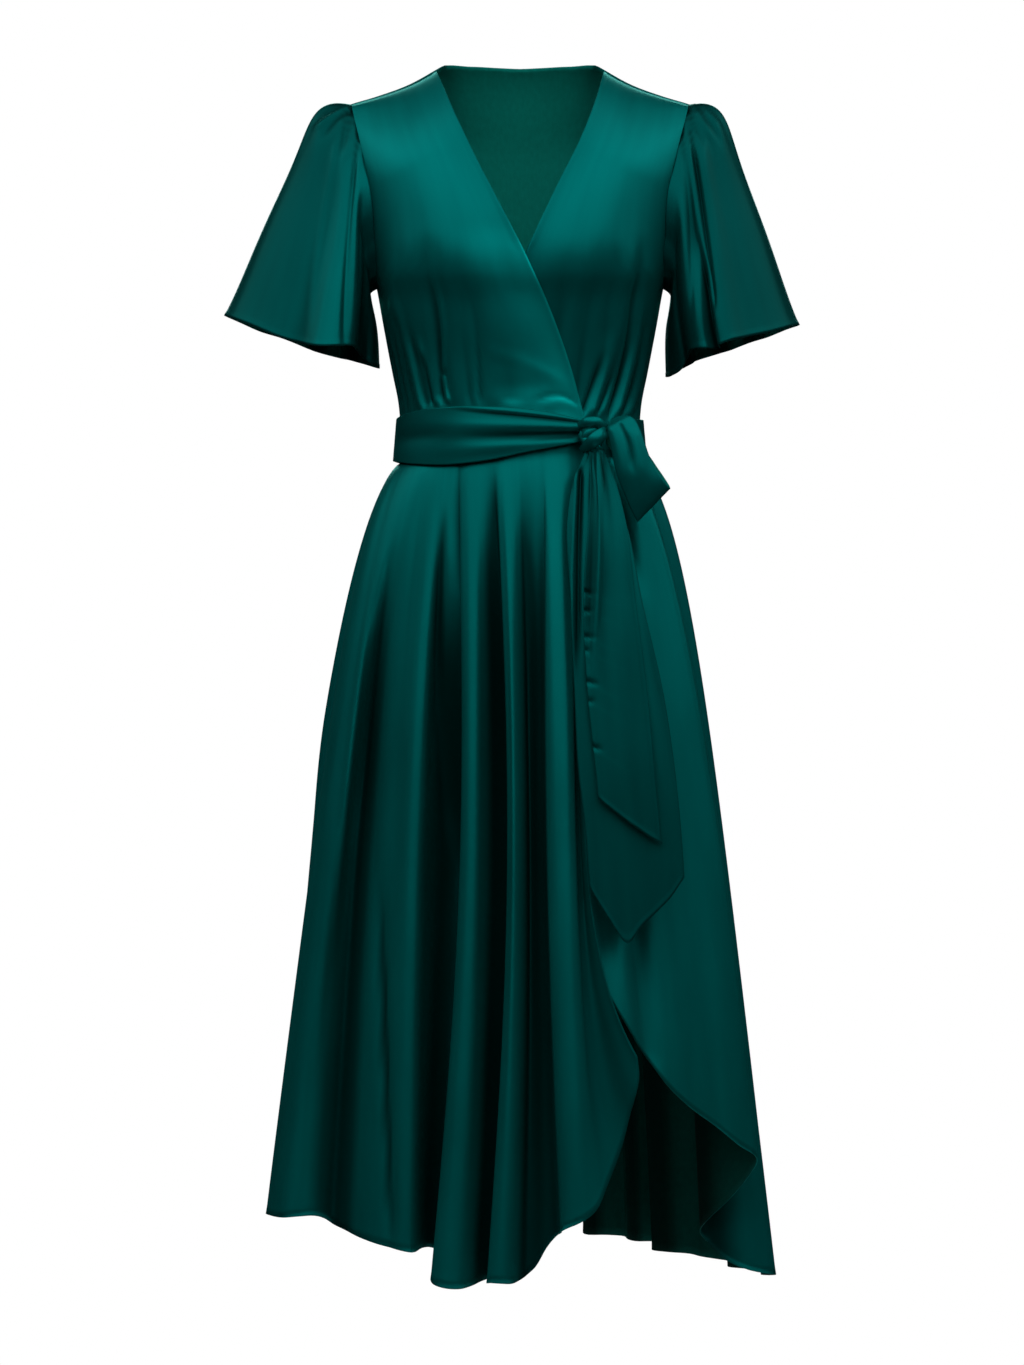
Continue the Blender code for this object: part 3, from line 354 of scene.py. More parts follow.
# ---------------------------------------------------------------- sash
# The strip round the waist: its upper and lower edge and how far it stands off the
# waist at each, going round from the knot by the wearer's right and the back.
SASH = table(
    "deg top bottom out_top out_bottom",
    (34, -0.36, -0.3755, 0.0078, 0.0086),
    (28, -0.355, -0.3775, 0.0072, 0.0086),
    (18, -0.3495, -0.382, 0.0064, 0.0088),
    (4, -0.3445, -0.388, 0.0062, 0.0088),
    (-14, -0.3415, -0.3965, 0.0064, 0.0088),
    (-34, -0.341, -0.4005, 0.0066, 0.009),
    (-54, -0.343, -0.3985, 0.0066, 0.009),
    (-74, -0.347, -0.3945, 0.006, 0.0088),
    (-90, -0.349, -0.392, 0.005, 0.0086),
    (-120, -0.347, -0.394, 0.0048, 0.0082),
    (-150, -0.345, -0.396, 0.0048, 0.0078),
    (-180, -0.344, -0.397, 0.0048, 0.0076),
    (-210, -0.345, -0.396, 0.0048, 0.0078),
    (-240, -0.347, -0.394, 0.0048, 0.0082),
    (-270, -0.349, -0.392, 0.0048, 0.0086),
    (-300, -0.352, -0.389, 0.005, 0.0086),
    (-314, -0.356, -0.385, 0.0056, 0.0082),
)
SASH_SIDE_DEG = -90.0      # where the front stretch is counted to end
PLEAT_START_DEG, PLEAT_FULL_DEG = -70.0, 30.0      # where the pleats deepen to the knot
PLEAT_AWAY, PLEAT_NEAR = 0.03, 0.26    # share of their relief all along, and more at the knot
# Pleats along the strip: height across it (0 upper edge, 1 lower), and how far each
# crest or valley stands out at the knot.
SASH_PLEATS = table(
    "across relief",
    (0,), (0.12, 0.0022), (0.26, 0.0002), (0.42, 0.0028), (0.58, 0.0004), (0.74, 0.0024),
    (0.88, 0.0004), (1, 0.001),
)

KNOT = (0.0745, -0.1019, -0.3700)          # centre of the knot
KNOT_SIZE = (0.0135, 0.0115, 0.0170)       # its half width, half depth, half height
KNOT_CORE, KNOT_BACK = 0.93, 0.003         # its core's share of that size, set back
KNOT_PLEAT = 0.07          # relief of its wrapped pleats, as a share of its size
KNOT_TURNS, KNOT_WAVES = 3, 6              # how the pleats wind round and across it
KNOT_CAP_DEG = 8.0         # how far its core stops short of its upper and lower pole

# Stretches of the strip that hang free. Each row is a section square to its run: its
# middle, its half width, the direction of its width in the front view, and how far
# its middle bulges forward.
LOOP = table(
    "x y z half_width turn_deg crown",
    (0.0882, -0.1035, -0.365, 0.0055),
    (0.095, -0.111, -0.359, 0.0095, 45, 0.002),
    (0.102, -0.117, -0.36, 0.014, 66, 0.004),
    (0.1075, -0.121, -0.375, 0.0165, 68, 0.005),
    (0.1158, -0.1235, -0.405, 0.0185, 64, 0.005),
    (0.127, -0.123, -0.429, 0.0215, 54, 0.003),
    (0.1355, -0.119, -0.443, 0.0237, 45),
    (0.1345, -0.114, -0.4385, 0.0235, 45, -0.002),
    (0.125, -0.1105, -0.42, 0.021, 50, -0.003),
    (0.113, -0.107, -0.395, 0.016, 55, -0.003),
    (0.1, -0.101, -0.38, 0.01, 40, -0.001),
    (0.088, -0.0978, -0.3745, 0.0055),
)
# The strip's own wraps round the knot.
KNOT_BAND = table(
    "x y z half_width turn_deg crown",
    (0.0625, -0.0965, -0.3865, 0.003, -40, 0.001),
    (0.067, -0.1065, -0.3835, 0.005, -38, 0.002),
    (0.073, -0.114, -0.3792, 0.0066, -36, 0.0032),
    (0.079, -0.116, -0.3745, 0.007, -34, 0.0034),
    (0.085, -0.113, -0.3698, 0.006, -30, 0.0026),
    (0.09, -0.1025, -0.3655, 0.004, -26, 0.001),
)
KNOT_UNDER = table(
    "x y z half_width turn_deg crown",
    (0.061, -0.098, -0.368, 0.003, 30, 0.001),
    (0.066, -0.105, -0.3745, 0.0042, 40, 0.002),
    (0.072, -0.1085, -0.381, 0.0046, 42, 0.0022),
    (0.079, -0.1085, -0.3862, 0.0044, 40, 0.002),
    (0.085, -0.102, -0.3895, 0.003, 40, 0.001),
)
KNOT_OVER = table(
    "x y z half_width turn_deg crown",
    (0.059, -0.099, -0.3615, 0.003, -10, 0.001),
    (0.065, -0.108, -0.3587, 0.0042, -8, 0.002),
    (0.0725, -0.1115, -0.358, 0.005, 0, 0.0026),
    (0.08, -0.111, -0.3592, 0.005, 14, 0.0024),
    (0.087, -0.105, -0.364, 0.004, 30, 0.001),
)
LOOP_MIDDLE, TAIL_LONG_MIDDLE, TAIL_SHORT_MIDDLE = 0.11, 0.11, 0.10    # x of each middle
TAIL_LONG_TOP, TAIL_SHORT_TOP = -0.3878, -0.3860   # where the tails leave the knot
TAIL_RELIEF = 0.20         # share of the solid's tail folds that stays under the drawn ones
TAIL_FULL, TAIL_OPEN = 0.10, 0.40      # shares of the length: folds complete, opened out
TAIL_OPENED = 0.85         # share of the folds' depth that opens out
TAIL_LONG_EDGES = table(
    "z left right y",
    (-0.39, 0.066, 0.086, -0.101),
    (-0.42, 0.054, 0.092, -0.112),
    (-0.4585, 0.048, 0.106, -0.1235),
    (-0.54, 0.0506, 0.123, -0.14),
    (-0.632, 0.0545, 0.144, -0.152),
    (-0.713, 0.0584, 0.156, -0.162),
    (-0.763, 0.064, 0.161, -0.167),
    (-0.824, 0.069, 0.165, -0.172),
    (-0.89, 0.074, 0.166, -0.176),
)
TAIL_LONG_LINES = table(
    "across bottom fold",
    (0, -0.83), (0.1, -0.848, -0.003), (0.22, -0.868, 0.002), (0.36, -0.886, -0.002),
    (0.52, -0.87, 0.003), (0.68, -0.856, -0.001), (0.85, -0.84, -0.004), (1, -0.82, 0.001),
)
TAIL_SHORT_EDGES = table(
    "z left right y",
    (-0.386, 0.0705, 0.085, -0.106),
    (-0.42, 0.0705, 0.097, -0.122),
    (-0.4587, 0.0685, 0.1065, -0.135),
    (-0.5405, 0.064, 0.1166, -0.15),
    (-0.642, 0.068, 0.129, -0.164),
    (-0.7126, 0.0754, 0.135, -0.173),
    (-0.79, 0.083, 0.142, -0.18),
)
TAIL_SHORT_LINES = table(
    "across bottom fold",
    (0, -0.74), (0.14, -0.748, -0.004), (0.3, -0.756, 0.001), (0.46, -0.764, -0.006),
    (0.62, -0.771, 0.001), (0.8, -0.779, -0.001), (1, -0.786, 0.002),
)

# ---------------------------------------------------------------- sampling
BODICE_ROWS, BODICE_STEPS = 120, 8
BACK_COLUMNS = 161
SKIRT_ROWS, SKIRT_STEPS, SKIRT_ROW_POWER = 120, 4, 1.25
SLEEVE_ROWS, SLEEVE_STEPS = 80, 10
SASH_STEP_DEG, SASH_COLUMNS = 1.5, 51
LOOP_ROWS, LOOP_COLUMNS = 100, 25
KNOT_ROWS, KNOT_COLUMNS = 40, 64
TAIL_ROWS, TAIL_COLUMNS = 140, 49

# ---------------------------------------------------------------- cloth and colour
CLOTH = 0.0007             # thickness of the cloth shell
HEM_THICK = 0.0014         # thickness where an edge is turned in
HEM_WIDTH = 0.0045         # how wide a turned-in edge is
GATHER_KEPT = 0.35         # share of the solid's waist gathers that stays under the folds
FOLD_FACING = 0.4          # how squarely a surface faces the view where a fold is complete
# Widths of folds, and the depth at which a hollow of that width counts as full, for the painted
# shade in their valleys.
HOLLOW_SCALES = ((0.100, 0.060), (0.040, 0.012), (0.008, 0.0020))
VALLEY_PAINTED_SHADE = 0.28         # share of the satin's colour left at the bottom of a deep fold: painted shade
VALLEY_PAINTED_SHADE_RANGE = (-0.35, 0.75)    # hollows over which the painted shade goes from none to full
STREAK_SHARE = 0.45        # share of the satin's colour change that is in streaks
SATIN_DEEP, SATIN_LIGHT = (0.0, 0.118, 0.112), (0.0, 0.158, 0.150)
CREPE_DEEP, CREPE_LIGHT = (0.002, 0.225, 0.180), (0.004, 0.275, 0.218)
SKIRT_REVERSE_PAINTED_SHADE = 0.22       # share of the crepe's colour kept on the skirt's reverse: painted shade, as little light reaches inside the skirt
FLOOR_COLOUR, FLOOR_ROUGHNESS = (0.86, 0.86, 0.86), 0.7

# Painted shade: how much darker each piece's colour is, standing in for the lesser sheen of its
# satin floats running another way than the bodice's.
SKIRT_PAINTED_SHADE, SASH_PAINTED_SHADE, LOOP_PAINTED_SHADE, TAIL_LONG_PAINTED_SHADE, TAIL_SHORT_PAINTED_SHADE = 0.05, 0.15, 0.20, 0.45, 0.48
SLEEVE_PAINTED_SHADE, SLEEVE_LIT_RIGHT, SLEEVE_LIT_LEFT = 0.60, 0.35, 0.15
SLEEVE_LIT_DEG, SLEEVE_LIT_WIDE = 84.0, 26.0       # where round a sleeve the painted shade is less, toward the front where more light falls
V_EDGE_PAINTED_HIGHLIGHT = (1.7, 0.050, -0.150)          # gain, reach and top of the painted highlight along the V edge
PAINTED_HIGHLIGHT_FADE = 0.06           # height over which that painted highlight grows below its top

# The camera: its distance from the shoulders' plane, its place and its view there.
EYE_X, EYE_Z, EYE_DISTANCE, VIEW_HEIGHT = -0.0084, -0.62423, 4.0, 1.433
FLOOR_Z, FLOOR_RADIUS = -2.00, 0.90
DOME_RADIUS, BACKDROP_GLOW, FILL = 14.0, 1.0, 0.012

LIGHTS = table(
    "name x y z aim_z wide high watts",
    ("key", 0, -1.95, 1.65, -3.83, 7, 4.8, 160),
    ("front", 0, -3.6, 0.5, -0.5, 2.6, 1.4, 3),
    ("side_right", -3.2, 0.2, 1.7, -0.2, 3, 2, 26),
    ("side_left", 3.2, 0.2, 1.7, -0.2, 3, 2, 26),
    ("rear", 0, 3, 1.4, -0.5, 3, 2, 70),
)


def folds(*rows):
    """Folds that start at (side0, along0) and end at (side1, along1) in the picture.

    Their lengths are in tenths of a millimetre, and fade and steep in hundredths.
    """
    columns = "side0 along0 side1 along1 bow height wide0 wide1 fade0 fade1 steep"
    units = [10000.0] * 8 + [100.0] * 3
    return table(columns, *[[part / unit for part, unit in zip(row, units)] for row in rows])


# Folds that run up and down: side is x, along is z.
FOLDS_RIGHT = folds(
    (-1029, -3371, -1323, -2205, 21, 30, 32, 52, 8, 25),
    (-1354, -2772, -1270, -1890, -16, 21, 42, 52, 25, 20),
    (-977, -3360, -1218, -2489, 21, -33, 42, 63, 8, 25),
    (-872, -3318, -1050, -2678, 10, 27, 32, 42, 6, 20),
    (-924, -3329, -1008, -2856, 0, -30, 26, 42, 6, 25),
    (-829, -3297, -945, -1827, 32, -45, 52, 126, 6, 25),
    (-746, -3297, -809, -3024, -10, 27, 26, 26, 10, 12),
    (-798, -2972, -882, -1995, 32, 33, 37, 52, 6, 35, 60),
    (-682, -3308, -714, -2226, 0, 12, 52, 73, 8, 35),
    (-514, -3308, -651, -1911, 21, -19, 42, 95, 8, 25),
    (-472, -3308, -567, -2436, 10, 18, 37, 63, 8, 30),
    (-420, -3308, -504, -2121, 21, -18, 32, 73, 8, 30),
    (-273, -3318, -357, -2226, 0, 12, 84, 126, 8, 40),
    (-84, -3297, -126, -2751, 0, -15, 105, 126, 8, 35),
)
FOLDS_LEFT = folds(
    (661, -3413, 850, -2877, 10, -42, 32, 52, 6, 35),
    (609, -3329, 840, -1827, -63, -24, 52, 126, 8, 30),
    (756, -3423, 955, -2699, 10, 33, 42, 63, 6, 35),
    (819, -3413, 966, -2982, 10, -23, 26, 42, 6, 40),
    (871, -3413, 1029, -2751, 10, 15, 32, 63, 6, 40),
    (945, -3444, 1229, -1890, 63, -51, 32, 73, 6, 25),
    (1018, -3434, 1270, -2037, 52, 30, 42, 73, 6, 30),
    (1071, -3444, 1313, -2436, 42, -24, 32, 52, 6, 35),
    (1134, -3444, 1323, -2699, 32, 21, 42, 63, 6, 35),
    (1197, -3444, 1365, -2751, 32, -15, 32, 52, 6, 35),
    (546, -2982, 640, -2100, 0, 15, 84, 105, 25, 30),
    (378, -2699, 483, -1827, 0, -21, 84, 105, 25, 30),
    (871, -2699, 966, -1859, 0, -23, 73, 95, 25, 30),
    (1008, -2699, 1113, -1827, 0, 23, 73, 84, 25, 30),
)
FOLDS_ARM_RIGHT = folds(
    (-1837, -2699, -1701, -462, -32, -40, 52, 26, 15, 4),
    (-1743, -2699, -1680, -651, -21, 12, 63, 42, 20, 10),
    (-2205, -2646, -1921, -546, -42, 10, 42, 32, 20, 10),
    (-2047, -2699, -1869, -494, -32, -8, 84, 42, 20, 10),
    (-1638, -2699, -1659, -1176, 0, -30, 73, 42, 20, 15),
    (-1890, -651, -1816, -231, 0, -22, 32, 26, 30, 10),
    (-1837, -599, -1764, -231, 0, -22, 26, 23, 30, 10),
    (-2152, -431, -1795, -200, -32, 16, 42, 42, 25, 15),
    (-2047, -494, -1774, -221, -32, -18, 42, 32, 30, 15),
)
FOLDS_ARM_LEFT = folds(
    (2026, -2247, 1785, -399, 21, -50, 42, 26, 10, 4),
    (1806, -2226, 1680, -399, 52, -30, 52, 32, 15, 5),
    (1890, -2594, 1743, -651, 42, 22, 73, 42, 15, 10),
    (2100, -1701, 1890, -389, 0, 10, 84, 52, 30, 10),
    (1628, -2226, 1606, -861, 0, -15, 73, 52, 30, 20),
    (1890, -546, 1743, -210, 0, -20, 32, 26, 35, 10),
    (2016, -525, 1806, -200, 0, 16, 42, 32, 35, 10),
    (2100, -567, 1858, -189, 21, -14, 42, 32, 35, 15),
)
FOLDS_SKIRT = folds(
    (-1365, -12096, -1470, -8606, -10, -55, 62, 58, 15, 35),
)
FOLDS_UNDER = folds(
    (1190, -5050, 950, -3900, 0, -80, 80, 70, 35, 5),
    (1330, -10300, 1230, -8900, 0, -45, 150, 110, 15, 35),
)
FOLDS_LOOP = folds(
    (1081, -4137, 966, -3549, 10, 25, 84, 52, 25, 10),
    (1176, -3969, 1039, -3507, 32, -22, 32, 26, 25, 8),
    (1291, -4116, 1176, -3591, 21, 15, 73, 52, 30, 10),
)
FOLDS_SHORT = folds(
    (777, -5796, 819, -3780, 32, 48, 52, 32, 35, 5),
    (693, -5796, 735, -3854, 0, -48, 84, 46, 35, 5),
    (1071, -5796, 945, -3854, 12, 10, 100, 60, 35, 5),
)
FOLDS_LONG = folds(
    (546, -5796, 598, -4011, -21, 30, 32, 26, 30, 5),
    (609, -5796, 640, -4011, -10, -37, 32, 26, 30, 5),
    (1417, -7056, 1102, -4536, 0, 23, 95, 63, 30, 10),
)

# Folds that lie across: side is z, along is x.
CREASES_BODICE = folds(
    (-1910, -1417, -1932, -158, 0, 55, 380, 380, 30, 30, -90),
    (-1932, 158, -1899, 1417, 0, 55, 380, 380, 30, 30, -90),
    (-3276, 189, -3308, 598, 73, -10, 21, 21, 20, 15),
    (-3339, 263, -3360, 598, 42, 7, 42, 42, 25, 15),
    (-2772, -304, -3108, 483, 32, 8, 84, 73, 30, 20),
    (-3129, -231, -3129, 210, 0, -9, 105, 95, 40, 40),
)
CREASES_SASH = folds(
    (-3497, 661, -3360, -525, 16, 12, 21, 21, 4, 30),
    (-3518, 661, -3413, -420, 10, -12, 21, 26, 4, 30),
    (-3560, 661, -3528, -735, 0, 20, 52, 84, 4, 35),
    (-3633, 661, -3665, -262, 0, -22, 42, 84, 5, 50),
    (-3707, 661, -3770, -577, 0, 15, 42, 84, 5, 40),
    (-3665, 578, -3707, 105, 0, -10, 21, 21, 10, 40),
    (-3633, -840, -3665, -1312, 0, -10, 84, 84, 40, 30),
)
PUCKERS = folds(
    (-5271, 588, -5303, 756, 0, -20, 21, 21, 30, 50),
    (-5492, 588, -5481, 735, 0, -20, 26, 21, 30, 50),
    (-5744, 588, -5765, 756, 0, -20, 21, 21, 30, 50),
    (-5912, 598, -5901, 714, 0, -18, 21, 21, 30, 50),
    (-6216, 609, -6248, 777, 0, -22, 26, 21, 30, 50),
    (-6447, 630, -6437, 756, 0, -18, 21, 21, 30, 50),
    (-6899, 661, -6930, 819, 0, -22, 26, 21, 30, 50),
)


# ---------------------------------------------------------------- curves and lofts
KEPT_APART = 1e-4          # root of the spacing that two touching lines still count as


def column(rows, name):
    return np.array([row[name] for row in rows], dtype=float)


def curve(start, leaving, end, arriving, t):
    """A cubic from start to end, with the rise it leaves and arrives with."""
    return (
        start * (1 + 2 * t) * (1 - t) ** 2
        + leaving * t * (1 - t) ** 2
        + end * t**2 * (3 - 2 * t)
        - arriving * t**2 * (1 - t)
    )


def smooth(rows, key, name, at):
    """A smooth curve through one column of a table, read at the given keys."""
    order = np.argsort(column(rows, key))
    keys = column(rows, key)[order]
    values = column(rows, name)[order]
    slopes = np.gradient(values, keys)
    at = np.clip(np.asarray(at, dtype=float), keys[0], keys[-1])
    i = np.clip(np.searchsorted(keys, at, side="right") - 1, 0, len(keys) - 2)
    step = keys[i + 1] - keys[i]
    t = (at - keys[i]) / step
    return curve(values[i], slopes[i] * step, values[i + 1], slopes[i + 1] * step, t)


def ease(low, high, value):
    """0 below low, 1 above high, with a soft start and end."""
    t = np.clip((np.asarray(value, dtype=float) - low) / (high - low), 0.0, 1.0)
    return t * t * (3 - 2 * t)


def across(lines, steps, closed=False, before=None, after=None):
    """Fills in between neighbouring lines with a rounded curve at every height.

    before and after are the next lines of the pieces sewn on, so that the curve runs
    on smoothly over the seam.
    """
    lines = np.asarray(lines, dtype=float)
    count = len(lines)
    if closed:
        padded = np.concatenate([lines[-1:], lines, lines[:2]])
        spans = count
    else:
        first = 2 * lines[0] - lines[1] if before is None else before
        last = 2 * lines[-1] - lines[-2] if after is None else after
        padded = np.concatenate([[first], lines, [last]])
        spans = count - 1
    columns = []
    for span in range(spans):
        p0, p1, p2, p3 = padded[span : span + 4]
        k0, k1, k2 = (
            np.sqrt(np.linalg.norm(b - a, axis=-1, keepdims=True)) + KEPT_APART
            for a, b in ((p0, p1), (p1, p2), (p2, p3))
        )
        m1 = (p1 - p0) / k0 - (p2 - p0) / (k0 + k1) + (p2 - p1) / k1
        m2 = (p2 - p1) / k1 - (p3 - p1) / (k1 + k2) + (p3 - p2) / k2
        for step in range(steps):
            columns.append(curve(p1, m1 * k1, p2, m2 * k1, step / steps))
    if not closed:
        columns.append(padded[-2])
    return np.array(columns)


# ---------------------------------------------------------------- body surface
def lap_offset(deg, layer):
    """How far a front lies off the plain body: the right laps over the left."""
    if layer == "over":
        return LAP_OFFSET * ease(-LAP_START_DEG, -LAP_FULL_DEG, deg)
    if layer == "under":
        return -LAP_OFFSET * (1.0 - ease(LAP_FULL_DEG, LAP_START_DEG, deg))
    return 0.0 * np.asarray(deg, dtype=float)


def body_point(deg, z, layer):
    """A point of the body surface at an angle from the front centre and a height."""
    deg = np.asarray(deg, dtype=float)
    z = np.asarray(z, dtype=float)
    half = smooth(BODY, "z", "half_width", z)
    side = "back" if layer == "back" else "front"
    depth = smooth(BODY, "z", side, z)
    angle = np.radians(deg)
    x = half * np.sin(angle)
    below = smooth(SHOULDER, "x", "z", np.abs(x)) - z
    drop = np.clip(below / SHOULDER_ROUND, 0.0, 1.0)
    rounding = (1.0 - (1.0 - drop) ** 2) ** SHOULDER_POWER
    y = depth * np.cos(angle) * rounding
    if side == "front":
        apart = (np.abs(x) - BUST_X) ** 2 + (z - BUST_Z) ** 2
        y = -y - BUST_FULLNESS * np.exp(-apart / (2 * BUST_SPREAD**2)) * rounding
    offset = lap_offset(deg, layer) * ease(0.0, LAP_DROP, below)
    x = x + offset * np.sin(angle)
    y = y - offset * np.cos(angle)
    return np.stack(np.broadcast_arrays(x, y, z), axis=-1)


def waist_point(deg, layer):
    """A point of the waist seam."""
    angle = math.radians(deg)
    depth = WAIST_FRONT_DEPTH if math.cos(angle) >= 0 else WAIST_BACK_DEPTH
    offset = float(lap_offset(deg, layer))
    return np.array([
        (WAIST_HALF_WIDTH + offset) * math.sin(angle),
        -(depth + offset) * math.cos(angle),
        WAIST_Z - SEAM / 2,
    ])


# ---------------------------------------------------------------- fine cloth forms
def bodice_front(lines, neck_edge, layer):
    """One front: rows run from the armhole or side seam to the V edge."""
    sign = -1.0 if layer == "over" else 1.0
    v = np.linspace(0.0, 1.0, BODICE_ROWS)
    low = WAIST_Z
    side_z = TIP_Z + (low - TIP_Z) * v
    neck_z = NECK_Z + (low - NECK_Z) * v
    side_deg = sign * smooth(ARMHOLE, "z", "deg", side_z)
    neck_x = smooth(neck_edge, "z", "x", neck_z)
    half = smooth(BODY, "z", "half_width", neck_z)
    neck_deg = np.degrees(np.arcsin(neck_x / half))
    paths = []
    for line in lines:
        share = line["top"] + (line["waist"] - line["top"]) * ease(TOP_SHARE, 1.0, v)
        deg = side_deg + (neck_deg - side_deg) * share
        z = side_z + (neck_z - side_z) * share
        top_x = abs(half[0] * math.sin(math.radians(deg[0])))
        lift = float(smooth(SHOULDER, "x", "z", top_x)) - z[0]
        z = z + lift * (1.0 - ease(0.0, TOP_SHARE, v))
        points = body_point(deg, z, layer)
        held = SEAM_GATHER + (1.0 - SEAM_GATHER) * ease(low + SEAM_HELD, low + SEAM_FREE, z)
        bulge = GATHER_KEPT * line["gather"] * held
        bulge = bulge * (1.0 - ease(low + SEAM_FREE, line["reach"], z))
        angle = np.radians(deg)
        points[:, 0] += bulge * np.sin(angle)
        points[:, 1] -= bulge * np.cos(angle)
        paths.append(points)
    return across(paths, BODICE_STEPS)


def bodice_back():
    """The back: rows run from one armhole to the other."""
    v = np.linspace(0.0, 1.0, BODICE_ROWS)
    low = WAIST_Z
    paths = []
    tip_deg = float(smooth(ARMHOLE, "z", "deg", TIP_Z))
    half = float(smooth(BODY, "z", "half_width", 0.0))
    side_z = TIP_Z + (low - TIP_Z) * v
    side_deg = smooth(ARMHOLE, "z", "deg", side_z)
    for share in np.linspace(-1.0, 1.0, BACK_COLUMNS):
        top_x = half * math.sin(math.radians(tip_deg * share))
        if abs(top_x) <= NECK_X:
            top_z = float(smooth(BACK_NECK, "x", "z", top_x))
        else:
            top_z = float(smooth(SHOULDER, "x", "z", abs(top_x)))
        centre_z = top_z + (low - top_z) * v
        z = side_z + (centre_z - side_z) * (1.0 - abs(share) ** BACK_TURN)
        z = z + (top_z - z[0]) * (1.0 - ease(0.0, TOP_SHARE, v))
        lap = 1.0 + ARMHOLE_LAP * ease(UNDERARM_Z, UNDERARM_Z + LAP_GROWS, z)
        paths.append(body_point(side_deg * share * lap, z, "back"))
    return np.array(paths)


def flare(v, power):
    """Share of the way from the waist out to the hem, at a share of the length."""
    held = np.maximum(v - FLARE_START, 0.0) + FLARE_SOFTEN
    start = FLARE_SOFTEN**power
    end = (1.0 - FLARE_START + FLARE_SOFTEN) ** power
    return (held**power - start) / (end - start)


def skirt_line(line, layer):
    """One fold line of the skirt, from the waist seam to the hem."""
    line = {**PLAIN_LINE, **line}
    v = np.linspace(0.0, 1.0, SKIRT_ROWS) ** SKIRT_ROW_POWER
    start = waist_point(line["waist_deg"], layer)
    out_x = line["hem_x"] - line["flick_x"] - start[0]
    out_y = line["hem_y"] - start[1]
    bow = np.sin(math.pi * v)
    x = start[0] + out_x * flare(v, FLARE_WIDTH_POWER) + line["bow_x"] * bow
    x = x + line["flick_x"] * v**FLICK_POWER
    y = start[1] + out_y * flare(v, FLARE_DEPTH_POWER) + line["bow_y"] * bow
    grown = ease(line["starts"], line["starts"] + FOLD_GROWS, v)
    x = x + line["fold_x"] * grown
    y = y + line["fold"] * grown
    z = start[2] + (line["hem_z"] - start[2]) * v
    return np.stack([x, y, z], axis=-1)


def back_lines():
    """Fold lines of the back panel: its outline at even steps, let in by its folds."""
    start, end, plain = BACK_FROM_DEG, BACK_TO_DEG, BACK_PLAIN_DEG
    lines = []
    for deg in np.arange(start, end + 0.1, BACK_STEP_DEG):
        line = {name: float(smooth(SKIRT_BACK, "waist_deg", name, deg)) for name in SKIRT_BACK[0]}
        parts = [
            row["deep"] * math.exp(-(((deg - row["deg"]) / row["wide"]) ** 2))
            for row in BACK_FOLDS
        ]
        starts = sum(part * row["starts"] for part, row in zip(parts, BACK_FOLDS)) / sum(parts)
        inside = ease(start, start + plain, deg) * (1.0 - ease(end - plain, end, deg))
        deep = sum(parts) * float(inside)
        angle = math.radians(deg)
        line.update(fold_x=-deep * math.sin(angle), fold=deep * math.cos(angle), starts=starts)
        lines.append(line)
    return lines


def skirt_panel(lines, layer, before=None, after=None):
    """One panel; before and after are the rows next to its side seams."""
    paths = [skirt_line(line, layer) for line in lines]
    ghost_before = None if before is None else skirt_line(before, "back")
    ghost_after = None if after is None else skirt_line(after, "back")
    return across(paths, SKIRT_STEPS, before=ghost_before, after=ghost_after)


def armhole_point(deg, layer):
    """A point of the armhole edge: the front half lies on that side's front panel."""
    middle = (TIP_Z + UNDERARM_Z) / 2
    z = middle + (TIP_Z - middle) * math.cos(math.radians(deg))
    cut = float(smooth(ARMHOLE, "z", "deg", z))
    sign = -1.0 if layer == "over" else 1.0
    return body_point(sign * cut, z, layer if deg % 360.0 <= 180.0 else "back")


def sleeve(lines, layer):
    """One sleeve: rows run round it, each from the armhole to the cuff."""
    v = np.linspace(0.0, 1.0, SLEEVE_ROWS)
    sign = -1.0 if layer == "over" else 1.0
    paths = []
    for line in lines:
        start = armhole_point(line["armhole_deg"], layer)
        cuff = np.array([sign * line["cuff_x"], line["cuff_y"], line["cuff_z"]])
        rise = line["puff"] * (v / PUFF_PEAK) * np.exp(1.0 - v / PUFF_PEAK) * (1 - v)
        outer = math.cos(math.radians(line["armhole_deg"]) / 2) ** SWELL_AROUND
        rise = rise + SLEEVE_SWELL * outer * np.sin(math.pi * v) ** SWELL_ALONG
        points = start + (cuff - start) * v[:, None]
        up = PUFF_UP * (1 + math.cos(math.radians(line["armhole_deg"]))) / 2
        points[:, 0] += sign * rise * math.sqrt(1 - up**2)
        points[:, 2] += rise * up
        paths.append(points)
    grid = across(paths, SLEEVE_STEPS, closed=True)
    turns = np.radians(column(lines, "armhole_deg"))
    circle = np.stack([np.cos(turns), np.sin(turns), 0 * turns], axis=-1)[:, None, :]
    ring = across(circle, SLEEVE_STEPS, closed=True)
    held = np.degrees(np.arctan2(ring[:, 0, 1], ring[:, 0, 0])) % 360.0
    edge = np.array([armhole_point(deg, layer) for deg in held])
    near_cap = (1.0 - ease(0.0, CAP_HELD, v))[None, :, None]
    return grid + (edge - grid[:, 0])[:, None, :] * near_cap


